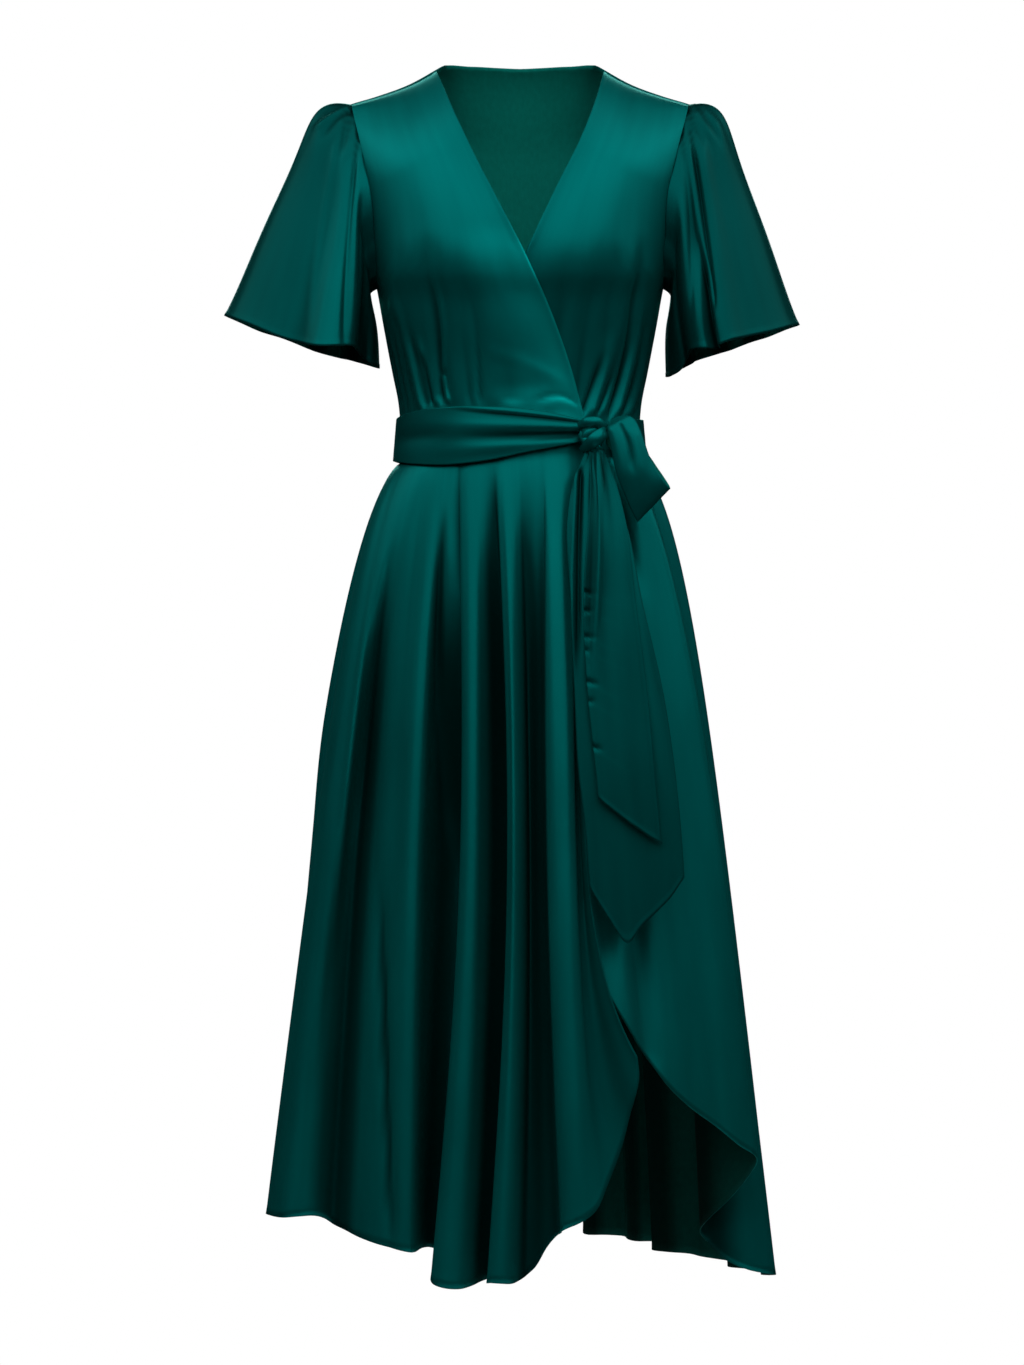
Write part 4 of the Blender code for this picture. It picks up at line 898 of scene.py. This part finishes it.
def sash_strip(first_deg, last_deg):
    """A stretch of the strip round the waist, in sections across its height."""
    count = round(abs(last_deg - first_deg) / SASH_STEP_DEG) + 1
    deg = np.linspace(first_deg, last_deg, count)
    angle = np.radians(deg)
    depth = np.where(np.cos(angle) >= 0, WAIST_FRONT_DEPTH, WAIST_BACK_DEPTH)
    near_knot = ease(PLEAT_START_DEG, PLEAT_FULL_DEG, deg)
    edges = {name: smooth(SASH, "deg", name, deg) for name in SASH[0]}
    paths = []
    for t in np.linspace(0.0, 1.0, SASH_COLUMNS):
        out = edges["out_top"] + (edges["out_bottom"] - edges["out_top"]) * t
        relief = float(smooth(SASH_PLEATS, "across", "relief", t))
        out = out + relief * (PLEAT_AWAY + PLEAT_NEAR * near_knot**2)
        x = (WAIST_HALF_WIDTH + out) * np.sin(angle)
        y = -(depth + out) * np.cos(angle)
        z = edges["top"] + (edges["bottom"] - edges["top"]) * t
        paths.append(np.stack([x, y, z], axis=-1))
    return np.array(paths)


def band(rows):
    """A narrow strip along a path, turned and crowned as its rows say."""
    lengths = np.linspace(0.0, len(rows) - 1.0, LOOP_ROWS)
    at = [{**row, "at": float(i)} for i, row in enumerate(rows)]
    parts = {name: smooth(at, "at", name, lengths) for name in rows[0]}
    angle = np.radians(parts["turn_deg"])
    paths = []
    for share in np.linspace(-1.0, 1.0, LOOP_COLUMNS):
        reach = parts["half_width"] * share
        x = parts["x"] + np.sin(angle) * reach
        y = parts["y"] - parts["crown"] * (1.0 - share**2)
        z = parts["z"] + np.cos(angle) * reach
        paths.append(np.stack([x, y, z], axis=-1))
    return np.array(paths)


def knot_core():
    """The gathered cloth inside the knot's wraps, a closed form with slanting pleats."""
    turn = np.linspace(0.0, 2 * math.pi, KNOT_COLUMNS, endpoint=False)[:, None]
    down = np.radians(np.linspace(KNOT_CAP_DEG, 180.0 - KNOT_CAP_DEG, KNOT_ROWS))[None, :]
    size = KNOT_CORE * (1.0 + KNOT_PLEAT * np.sin(KNOT_TURNS * turn + KNOT_WAVES * down))
    x = KNOT[0] + KNOT_SIZE[0] * size * np.sin(turn) * np.sin(down)
    y = KNOT[1] - KNOT_SIZE[1] * size * np.cos(turn) * np.sin(down) + KNOT_BACK
    z = KNOT[2] + KNOT_SIZE[2] * size * np.cos(down)
    return np.stack([x, y, z], axis=-1)


def tail_strip(edges, lines, top_z):
    """One tail, from the knot to its cut end."""
    v = np.linspace(0.0, 1.0, TAIL_ROWS)
    opened = 1.0 - TAIL_OPENED * ease(TAIL_FULL, TAIL_OPEN, v)
    paths = []
    for t in np.linspace(0.0, 1.0, TAIL_COLUMNS):
        bottom = float(smooth(lines, "across", "bottom", t))
        fold = float(smooth(lines, "across", "fold", t))
        z = top_z + (bottom - top_z) * v
        left = smooth(edges, "z", "left", z)
        right = smooth(edges, "z", "right", z)
        x = left + (right - left) * t
        y = smooth(edges, "z", "y", z)
        y = y + TAIL_RELIEF * fold * ease(0.0, TAIL_FULL, v) * opened
        paths.append(np.stack([x, y, z], axis=-1))
    return np.array(paths)


# ---------------------------------------------------------------- relief
def normals(grid, closed=False):
    """Unit normals of a grid; outward_sign tells which way they face."""
    if closed:
        du = np.roll(grid, -1, axis=0) - np.roll(grid, 1, axis=0)
    else:
        du = np.gradient(grid, axis=0)
    dv = np.gradient(grid, axis=1)
    n = np.cross(du, dv)
    return n / np.maximum(np.linalg.norm(n, axis=-1, keepdims=True), 1e-12)


def outward_sign(grid, n, middle_x=0.0):
    """1 where the normals n face away from the upright line at middle_x, else -1."""
    away = grid[..., :2] - np.array([middle_x, 0.0])
    return 1.0 if float((n[..., :2] * away).sum()) >= 0 else -1.0


def seen(grid):
    """Where each point shows on the upright picture plane through the shoulders."""
    scale = EYE_DISTANCE / (EYE_DISTANCE + grid[..., 1])
    x = EYE_X + (grid[..., 0] - EYE_X) * scale
    z = EYE_Z + (grid[..., 2] - EYE_Z) * scale
    return x, z


def fold_relief(side, along, rows):
    """Height of all the rows' folds at the given places of the picture plane.

    A fold is bowed sideways by bow and fades over the shares fade0 and fade1 of its
    length. It is high at its middle line, or deep where height is negative, and falls
    off over wide0 at its start and wide1 at its end, faster on its steep side.
    """
    total = np.zeros_like(side)
    for row in rows:
        t = (along - row["along0"]) / (row["along1"] - row["along0"])
        inside = np.clip(t, 0.0, 1.0)
        middle = row["side0"] + (row["side1"] - row["side0"]) * t
        middle = middle + row["bow"] * np.sin(math.pi * inside)
        wide = row["wide0"] + (row["wide1"] - row["wide0"]) * inside
        off = (side - middle) / wide
        off = np.where(off * row["steep"] > 0, off * (1 + abs(row["steep"])), off)
        fade = ease(-row["fade0"], row["fade0"], t)
        fade = fade * (1 - ease(1 - row["fade1"], 1 + row["fade1"], t))
        total += row["height"] * np.exp(-(off**2)) * fade
    return total


# ---------------------------------------------------------------- meshes
def edge_distance(grid, axis, end):
    """Length along the grid lines from one edge."""
    steps = np.linalg.norm(np.diff(grid, axis=axis), axis=-1)
    if end == 1:
        steps = np.flip(steps, axis=axis)
    shape = list(steps.shape)
    shape[axis] = 1
    total = np.concatenate([np.zeros(shape), np.cumsum(steps, axis=axis)], axis=axis)
    return np.flip(total, axis=axis) if end == 1 else total


def softened(row, reach, closed):
    """One row of points with everything narrower than reach smoothed away."""
    if closed:
        row = np.concatenate([row, row[:1]])
    along = np.concatenate([[0.0], np.cumsum(np.linalg.norm(np.diff(row, axis=0), axis=-1))])
    count = max(int(along[-1] / (reach / 6)), 24)
    even = np.linspace(0.0, along[-1], count)
    fine = np.stack([np.interp(even, along, row[:, k]) for k in range(3)], axis=-1)
    half = max(int(reach * 1.5 / (along[-1] / count)), 1)
    weight = np.exp(-0.5 * (np.arange(-half, half + 1) * 2.0 / half) ** 2)
    weight /= weight.sum()
    if closed:
        padded = np.pad(fine[:-1], ((half, half + 1), (0, 0)), mode="wrap")
    else:
        padded = np.pad(fine, ((half, half), (0, 0)), mode="reflect", reflect_type="odd")
    soft = np.stack([np.convolve(padded[:, k], weight, mode="valid") for k in range(3)], axis=-1)
    back = np.stack([np.interp(along, even, soft[:, k]) for k in range(3)], axis=-1)
    return back[:-1] if closed else back


def hollow(grid, closed, middle_x):
    """How deep each point lies in a fold's valley, from -1 on a crest to 1 at the bottom; it sets
    the painted shade in the valleys.
    """
    away = grid[..., :2] - np.array([middle_x, 0.0])
    away /= np.maximum(np.linalg.norm(away, axis=-1, keepdims=True), 1e-6)
    total = np.zeros(grid.shape[:2])
    for reach, full in HOLLOW_SCALES:
        soft = np.stack([softened(grid[:, j], reach, closed) for j in range(grid.shape[1])], axis=1)
        depth = ((soft - grid)[..., :2] * away).sum(axis=-1)
        total += np.tanh(depth / full)
    return np.clip(total, -1.0, 1.0)


EDGES = {"start": (0, 0), "end": (0, 1), "top": (1, 0), "bottom": (1, 1)}    # axis, end


def shell(name, grid, hems=(), closed=False, middle_x=0.0, dull=0.0, glow=None):
    """A grid of points as a thin cloth, thicker where an edge is turned in for a hem.

    hems names the free edges: "start" and "end" across the grid, "top" and "bottom"
    down it. The UV map "cloth" is the cloth's own plane in metres, and "hem" holds the
    piece's painted light and shade and the distance from a free edge. The painted shade
    is deepest in the folds' valleys. The darkening given for a piece is painted shade over
    all of it, standing in for the lesser sheen of satin floats that run another way. And
    glow = (gain, reach, top) is a painted highlight along its free edge, below the height
    top, standing in for the sheen where the floats turn with the bias-cut edge.
    """
    columns, heights = grid.shape[:2]
    n = normals(grid, closed)
    sign = outward_sign(grid, n, middle_x)
    count = columns if closed else columns - 1
    i, j = np.meshgrid(np.arange(count), np.arange(heights - 1), indexing="ij")
    after = (i + 1) % columns
    near, far = i * heights + j, after * heights + j
    quads = np.stack([near, near + 1, far + 1, far], axis=-1)
    facing = np.cross(grid[1:, 1:] - grid[:-1, :-1], grid[:-1, 1:] - grid[1:, :-1])
    if float((facing * n[:-1, :-1]).sum() * sign) > 0:
        quads = quads[..., ::-1]
    mesh = bpy.data.meshes.new(name)
    mesh.from_pydata(grid.reshape(-1, 3).tolist(), [], quads.reshape(-1, 4).tolist())

    down_m = edge_distance(grid, 1, 0)
    across_m = np.broadcast_to(edge_distance(grid, 0, 0).mean(axis=1)[:, None], down_m.shape)
    hem = np.full((columns, heights), 1.0)
    for edge in hems:
        hem = np.minimum(hem, edge_distance(grid, *EDGES[edge]))
    # Painted shade in the folds' valleys, deepest at the bottom of a deep fold.
    tone = 1.0 - (1.0 - VALLEY_PAINTED_SHADE) * ease(*VALLEY_PAINTED_SHADE_RANGE, hollow(grid, closed, middle_x))
    # Painted shade over the whole piece.
    tone = tone * (1.0 - dull)
    # Painted highlight along the free edge, below the height top.
    if glow:
        gain, reach, top = glow
        along_edge = np.exp(-((hem / reach) ** 2))
        tone = tone * (1.0 + gain * along_edge * ease(top, top - PAINTED_HIGHLIGHT_FADE, grid[..., 2]))
    # The UV map "hem" carries the painted light and shade in U and the distance from a free edge in
    # V.
    for layer_name, u, w in (("cloth", across_m, down_m), ("hem", tone, hem)):
        layer = mesh.uv_layers.new(name=layer_name)
        flat = np.stack([u, w], axis=-1).reshape(-1, 2)
        loops = np.zeros(len(mesh.loops), dtype=np.int32)
        mesh.loops.foreach_get("vertex_index", loops)
        layer.data.foreach_set("uv", flat[loops].astype(np.float32).ravel())
    mesh.shade_smooth()
    obj = bpy.data.objects.new(name, mesh)
    bpy.context.scene.collection.objects.link(obj)
    group = obj.vertex_groups.new(name="hem")
    weight = np.where(hem.reshape(-1) < HEM_WIDTH, 1.0, CLOTH / HEM_THICK)
    for value in np.unique(weight):
        group.add(np.flatnonzero(weight == value).tolist(), float(value), "REPLACE")
    wall = obj.modifiers.new("cloth", "SOLIDIFY")
    wall.thickness = HEM_THICK
    wall.offset = 0.0
    wall.vertex_group = "hem"
    wall.material_offset = 1
    wall.material_offset_rim = 0
    mesh.materials.append(SATIN_FACE)
    # The skirt's reverse takes the darker crepe: painted shade for the inside of the skirt.
    mesh.materials.append(CREPE_SKIRT_PAINTED_SHADE if name.startswith("shell_skirt") else CREPE_BACK)
    return obj


def dress(obj, node):
    """Ties a piece to the body and hides the solid that it stands for."""
    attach(obj, "root")
    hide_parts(node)


# ---------------------------------------------------------------- materials
class Nodes:
    """A short way to add and join the nodes of one material."""

    def __init__(self, name):
        self.material = bpy.data.materials.new(name)
        self.material.use_nodes = True
        self.tree = self.material.node_tree
        self.shader = self.tree.nodes["Principled BSDF"]

    def add(self, kind, **sockets):
        node = self.tree.nodes.new("ShaderNode" + kind)
        for name, value in sockets.items():
            socket = node.inputs[name.replace("_", " ")]
            if isinstance(value, bpy.types.NodeSocket):
                self.tree.links.new(value, socket)
            else:
                socket.default_value = value
        return node

    def gloss(self, **values):
        """Sets the surface's own sockets."""
        for name, value in values.items():
            self.shader.inputs[name.replace("_", " ")].default_value = value

    def join(self, source, node, name):
        self.tree.links.new(source, node.inputs[name])

    def ramp(self, source, stops):
        """A colour ramp between two (place, colour) pairs."""
        node = self.add("ValToRGB", Fac=source)
        for point, (place, colour) in zip(node.color_ramp.elements, stops):
            point.position = place
            point.color = (*colour, 1.0)
        return node

    def span(self, source, low, high):
        """Maps 0 to 1 onto low to high."""
        return self.add("MapRange", Value=source, To_Min=low, To_Max=high).outputs["Result"]

    def stretched(self, scale):
        """The cloth's own plane in metres, scaled across, along and through it."""
        plane = self.add("UVMap")
        plane.uv_map = "cloth"
        return self.add("Mapping", Vector=plane.outputs["UV"], Scale=scale).outputs["Vector"]

    def noise(self, vector, scale, detail=2.0, roughness=0.5):
        node = self.add("TexNoise", Vector=vector, Scale=scale, Detail=detail, Roughness=roughness)
        return node.outputs["Fac"]

    def shade(self, colour):
        """Gives the surface this colour times the painted light and shade held in the UV map "hem":
        painted shade in the folds' valleys and over whole pieces, and painted highlight along an
        edge.
        """
        folds = self.add("UVMap")
        folds.uv_map = "hem"
        painted_light_and_shade = self.add("SeparateXYZ", Vector=folds.outputs["UV"]).outputs["X"]
        deep = self.add("VectorMath")
        deep.operation = "SCALE"
        self.join(colour, deep, 0)
        self.join(painted_light_and_shade, deep, "Scale")
        self.join(deep.outputs[0], self.shader, "Base Color")

    def bump(self, height, distance, strength, normal=None):
        node = self.add("Bump", Height=height, Distance=distance, Strength=strength)
        if normal is not None:
            self.join(normal, node, "Normal")
        return node.outputs["Normal"]


def satin_face():
    """Satin: long warp floats, so the gloss runs in streaks along the cloth."""
    m = Nodes("satin_face")
    warp = m.noise(m.stretched((1.0, 0.04, 1.0)), scale=900.0)
    streak = m.noise(m.stretched((1.0, 0.12, 1.0)), scale=60.0, detail=3.0)
    cloud = m.noise(m.stretched((1.0, 0.6, 1.0)), scale=9.0, detail=2.0)
    tone = m.add("Math")
    tone.operation = "MULTIPLY_ADD"
    m.join(streak, tone, 0)
    tone.inputs[1].default_value = STREAK_SHARE
    m.join(m.span(cloud, low=0.0, high=1.0 - STREAK_SHARE), tone, 2)
    colour = m.ramp(tone.outputs[0], [(0.30, SATIN_DEEP), (0.70, SATIN_LIGHT)])
    m.shade(colour.outputs["Color"])
    m.join(m.span(streak, low=0.36, high=0.42), m.shader, "Roughness")
    fine = m.bump(warp, distance=0.00010, strength=0.25)
    soft = m.bump(cloud, distance=0.0022, strength=0.35, normal=fine)
    m.join(soft, m.shader, "Normal")
    m.gloss(Metallic=0.60, Specular_IOR_Level=0.04, Specular_Tint=(0.05, 0.9, 0.8, 1.0))
    m.gloss(Anisotropic=0.20, Anisotropic_Rotation=0.25)
    return m.material


def crepe_back(name, light):
    """The matte crepe reverse: a fine uneven crinkle with a soft nap. Its colour is scaled by the
    given share, and a share below 1 is painted shade.
    """
    m = Nodes(name)
    crinkle = m.noise(m.stretched((1.0, 0.6, 1.0)), scale=650.0, detail=3.0, roughness=0.6)
    patch = m.noise(m.stretched((1.0, 0.5, 1.0)), scale=240.0, detail=3.0)
    ends = [tuple(light * part for part in colour) for colour in (CREPE_DEEP, CREPE_LIGHT)]
    colour = m.ramp(patch, [(0.25, ends[0]), (0.75, ends[1])])
    m.shade(colour.outputs["Color"])
    m.join(m.span(patch, low=0.72, high=0.88), m.shader, "Roughness")
    m.join(m.bump(crinkle, distance=0.00025, strength=0.6), m.shader, "Normal")
    m.gloss(Specular_IOR_Level=0.03)
    return m.material


def plain(name, colour, roughness):
    m = Nodes(name)
    m.gloss(Base_Color=(*colour, 1.0), Roughness=roughness)
    return m.material


SATIN_FACE = satin_face()
CREPE_BACK = crepe_back("crepe_back", 1.0)
# A darker copy of the crepe: painted shade for the skirt's inside.
CREPE_SKIRT_PAINTED_SHADE = crepe_back("crepe_back_skirt_painted_shade", SKIRT_REVERSE_PAINTED_SHADE)


# ---------------------------------------------------------------- pieces
def raise_folds(grid, rows, across=(), closed=False, middle_x=0.0, behind=False):
    """Moves a grid's points out along their normals by the folds that face one way."""
    n = normals(grid, closed)
    n = n * outward_sign(grid, n, middle_x)
    x, z = (grid[..., 0], grid[..., 2]) if behind else seen(grid)
    toward = n[..., 1] if behind else -n[..., 1]
    height = fold_relief(x, z, rows) + fold_relief(z, x, across)
    return grid + n * (height * ease(0.0, FOLD_FACING, toward))[..., None]


def joined(shells):
    """Several shells as one object."""
    bpy.ops.object.select_all(action="DESELECT")
    for obj in shells:
        obj.select_set(True)
    bpy.context.view_layer.objects.active = shells[0]
    bpy.ops.object.join()
    return shells[0]


def piece(node, grid, **edges):
    """One cloth piece in place of a solid."""
    dress(shell("shell_" + node, grid, **edges), node)


right = bodice_front(BODICE_RIGHT, NECK_EDGE_RIGHT, "over")
left = bodice_front(BODICE_LEFT, NECK_EDGE_LEFT, "under")
right = raise_folds(right, FOLDS_RIGHT, CREASES_BODICE)
left = raise_folds(left, FOLDS_LEFT, CREASES_BODICE[:2])
back = raise_folds(bodice_back(), FOLDS_RIGHT + FOLDS_LEFT, behind=True)
piece("bodice_front_right", right, hems=("end",), glow=V_EDGE_PAINTED_HIGHLIGHT)
piece("bodice_front_left", left, hems=("end",))
piece("bodice_back", back, hems=("top",))

lines = back_lines()
right = skirt_panel(SKIRT_RIGHT, "over", before=lines[-2])
left = skirt_panel(SKIRT_LEFT, "under", before=lines[1])
back = skirt_panel(lines, "back", before=SKIRT_LEFT[1], after=SKIRT_RIGHT[1])
piece("skirt_front_right", raise_folds(right, FOLDS_SKIRT), hems=("end", "bottom"), dull=SKIRT_PAINTED_SHADE)
piece("skirt_front_left", raise_folds(left, FOLDS_UNDER), hems=("end", "bottom"), dull=SKIRT_PAINTED_SHADE)
piece("skirt_back", back, hems=("bottom",), dull=SKIRT_PAINTED_SHADE)

for side, rows, layer, folds, middle, lit in (
    ("right", SLEEVE_RIGHT, "over", FOLDS_ARM_RIGHT, -SLEEVE_MIDDLE, SLEEVE_LIT_RIGHT),
    ("left", SLEEVE_LEFT, "under", FOLDS_ARM_LEFT, SLEEVE_MIDDLE, SLEEVE_LIT_LEFT),
):
    grid = sleeve(rows, layer)
    for behind in (False, True):
        grid = raise_folds(grid, folds, closed=True, middle_x=middle, behind=behind)
    turn = np.arange(len(grid)) / SLEEVE_STEPS
    deg = np.interp(turn, np.arange(len(rows)), column(rows, "armhole_deg"))
    # Painted shade round the sleeve, less on the side toward the front where more light falls.
    dull = SLEEVE_PAINTED_SHADE - lit * np.exp(-(((deg - SLEEVE_LIT_DEG) / SLEEVE_LIT_WIDE) ** 2))
    dull = dull[:, None]
    piece("sleeve_" + side, grid, hems=("bottom",), closed=True, middle_x=middle, dull=dull)

front = raise_folds(sash_strip(SASH[0]["deg"], SASH_SIDE_DEG), (), CREASES_SASH)
piece("sash_front", front, dull=SASH_PAINTED_SHADE)
piece("sash_back", sash_strip(SASH_SIDE_DEG, SASH[-1]["deg"]), dull=SASH_PAINTED_SHADE)
loop = raise_folds(band(LOOP), FOLDS_LOOP, middle_x=LOOP_MIDDLE)
piece("sash_loop", loop, middle_x=LOOP_MIDDLE, dull=LOOP_PAINTED_SHADE)
wraps = [
    shell("shell_sash_knot", band(rows), middle_x=KNOT[0])
    for rows in (KNOT_BAND, KNOT_UNDER, KNOT_OVER)
]
core = shell("shell_sash_knot", knot_core(), closed=True, middle_x=KNOT[0])
dress(joined([core] + wraps), "sash_knot")
long = tail_strip(TAIL_LONG_EDGES, TAIL_LONG_LINES, TAIL_LONG_TOP)
short = tail_strip(TAIL_SHORT_EDGES, TAIL_SHORT_LINES, TAIL_SHORT_TOP)
long = raise_folds(long, FOLDS_LONG)
short = raise_folds(short, FOLDS_SHORT, PUCKERS)
cut = ("start", "end", "bottom")
piece("sash_tail_long", long, hems=cut, middle_x=TAIL_LONG_MIDDLE, dull=TAIL_LONG_PAINTED_SHADE)
piece("sash_tail_short", short, hems=cut, middle_x=TAIL_SHORT_MIDDLE, dull=TAIL_SHORT_PAINTED_SHADE)


# ---------------------------------------------------------------- studio
def disc(name, radius, place, material):
    bpy.ops.mesh.primitive_circle_add(vertices=96, radius=radius, fill_type="NGON", location=place)
    obj = bpy.context.object
    obj.name = name
    obj.data.materials.append(material)
    return obj


def soft_light(name, place, target, size, power):
    light = bpy.data.lights.new(name, "AREA")
    light.shape = "RECTANGLE"
    light.size, light.size_y = size
    light.energy = power
    obj = bpy.data.objects.new(name, light)
    bpy.context.scene.collection.objects.link(obj)
    obj.location = place
    obj.rotation_euler = (Vector(target) - Vector(place)).to_track_quat("-Z", "Y").to_euler()
    obj.visible_camera = False
    return obj


def studio():
    pale = plain("pale_floor", FLOOR_COLOUR, FLOOR_ROUGHNESS)
    centre = (0.0, 0.0, FLOOR_Z)
    disc("floor", FLOOR_RADIUS, centre, pale)
    bpy.ops.mesh.primitive_uv_sphere_add(
        segments=48, ring_count=24, radius=DOME_RADIUS, location=centre
    )
    dome = bpy.context.object
    dome.name = "backdrop"
    glow = bpy.data.materials.new("pale_backdrop")
    glow.use_nodes = True
    glow.node_tree.nodes.remove(glow.node_tree.nodes["Principled BSDF"])
    emission = glow.node_tree.nodes.new("ShaderNodeEmission")
    emission.inputs["Color"].default_value = (1.0, 1.0, 1.0, 1.0)
    emission.inputs["Strength"].default_value = BACKDROP_GLOW
    surface = glow.node_tree.nodes["Material Output"].inputs[0]
    glow.node_tree.links.new(emission.outputs[0], surface)
    dome.data.materials.append(glow)
    dome.visible_diffuse = dome.visible_glossy = dome.visible_shadow = False
    dome.visible_transmission = False
    world = bpy.data.worlds.new("studio")
    bpy.context.scene.world = world
    world.use_nodes = True
    fill = world.node_tree.nodes["Background"]
    fill.inputs["Color"].default_value = (1.0, 1.0, 1.0, 1.0)
    fill.inputs["Strength"].default_value = FILL
    for row in LIGHTS:
        place = (row["x"], row["y"], row["z"])
        target = (0.0, 0.0, row["aim_z"])
        soft_light(row["name"], place, target, (row["wide"], row["high"]), row["watts"])


def camera():
    data = bpy.data.cameras.new("camera")
    data.sensor_fit = "VERTICAL"
    data.sensor_height = 36.0
    data.lens = data.sensor_height * EYE_DISTANCE / VIEW_HEIGHT
    obj = bpy.data.objects.new("camera", data)
    bpy.context.scene.collection.objects.link(obj)
    obj.location = (EYE_X, -EYE_DISTANCE, EYE_Z)
    obj.rotation_euler = (math.radians(90.0), 0.0, 0.0)
    bpy.context.scene.camera = obj


studio()
camera()
bpy.context.scene.view_settings.view_transform = "Standard"
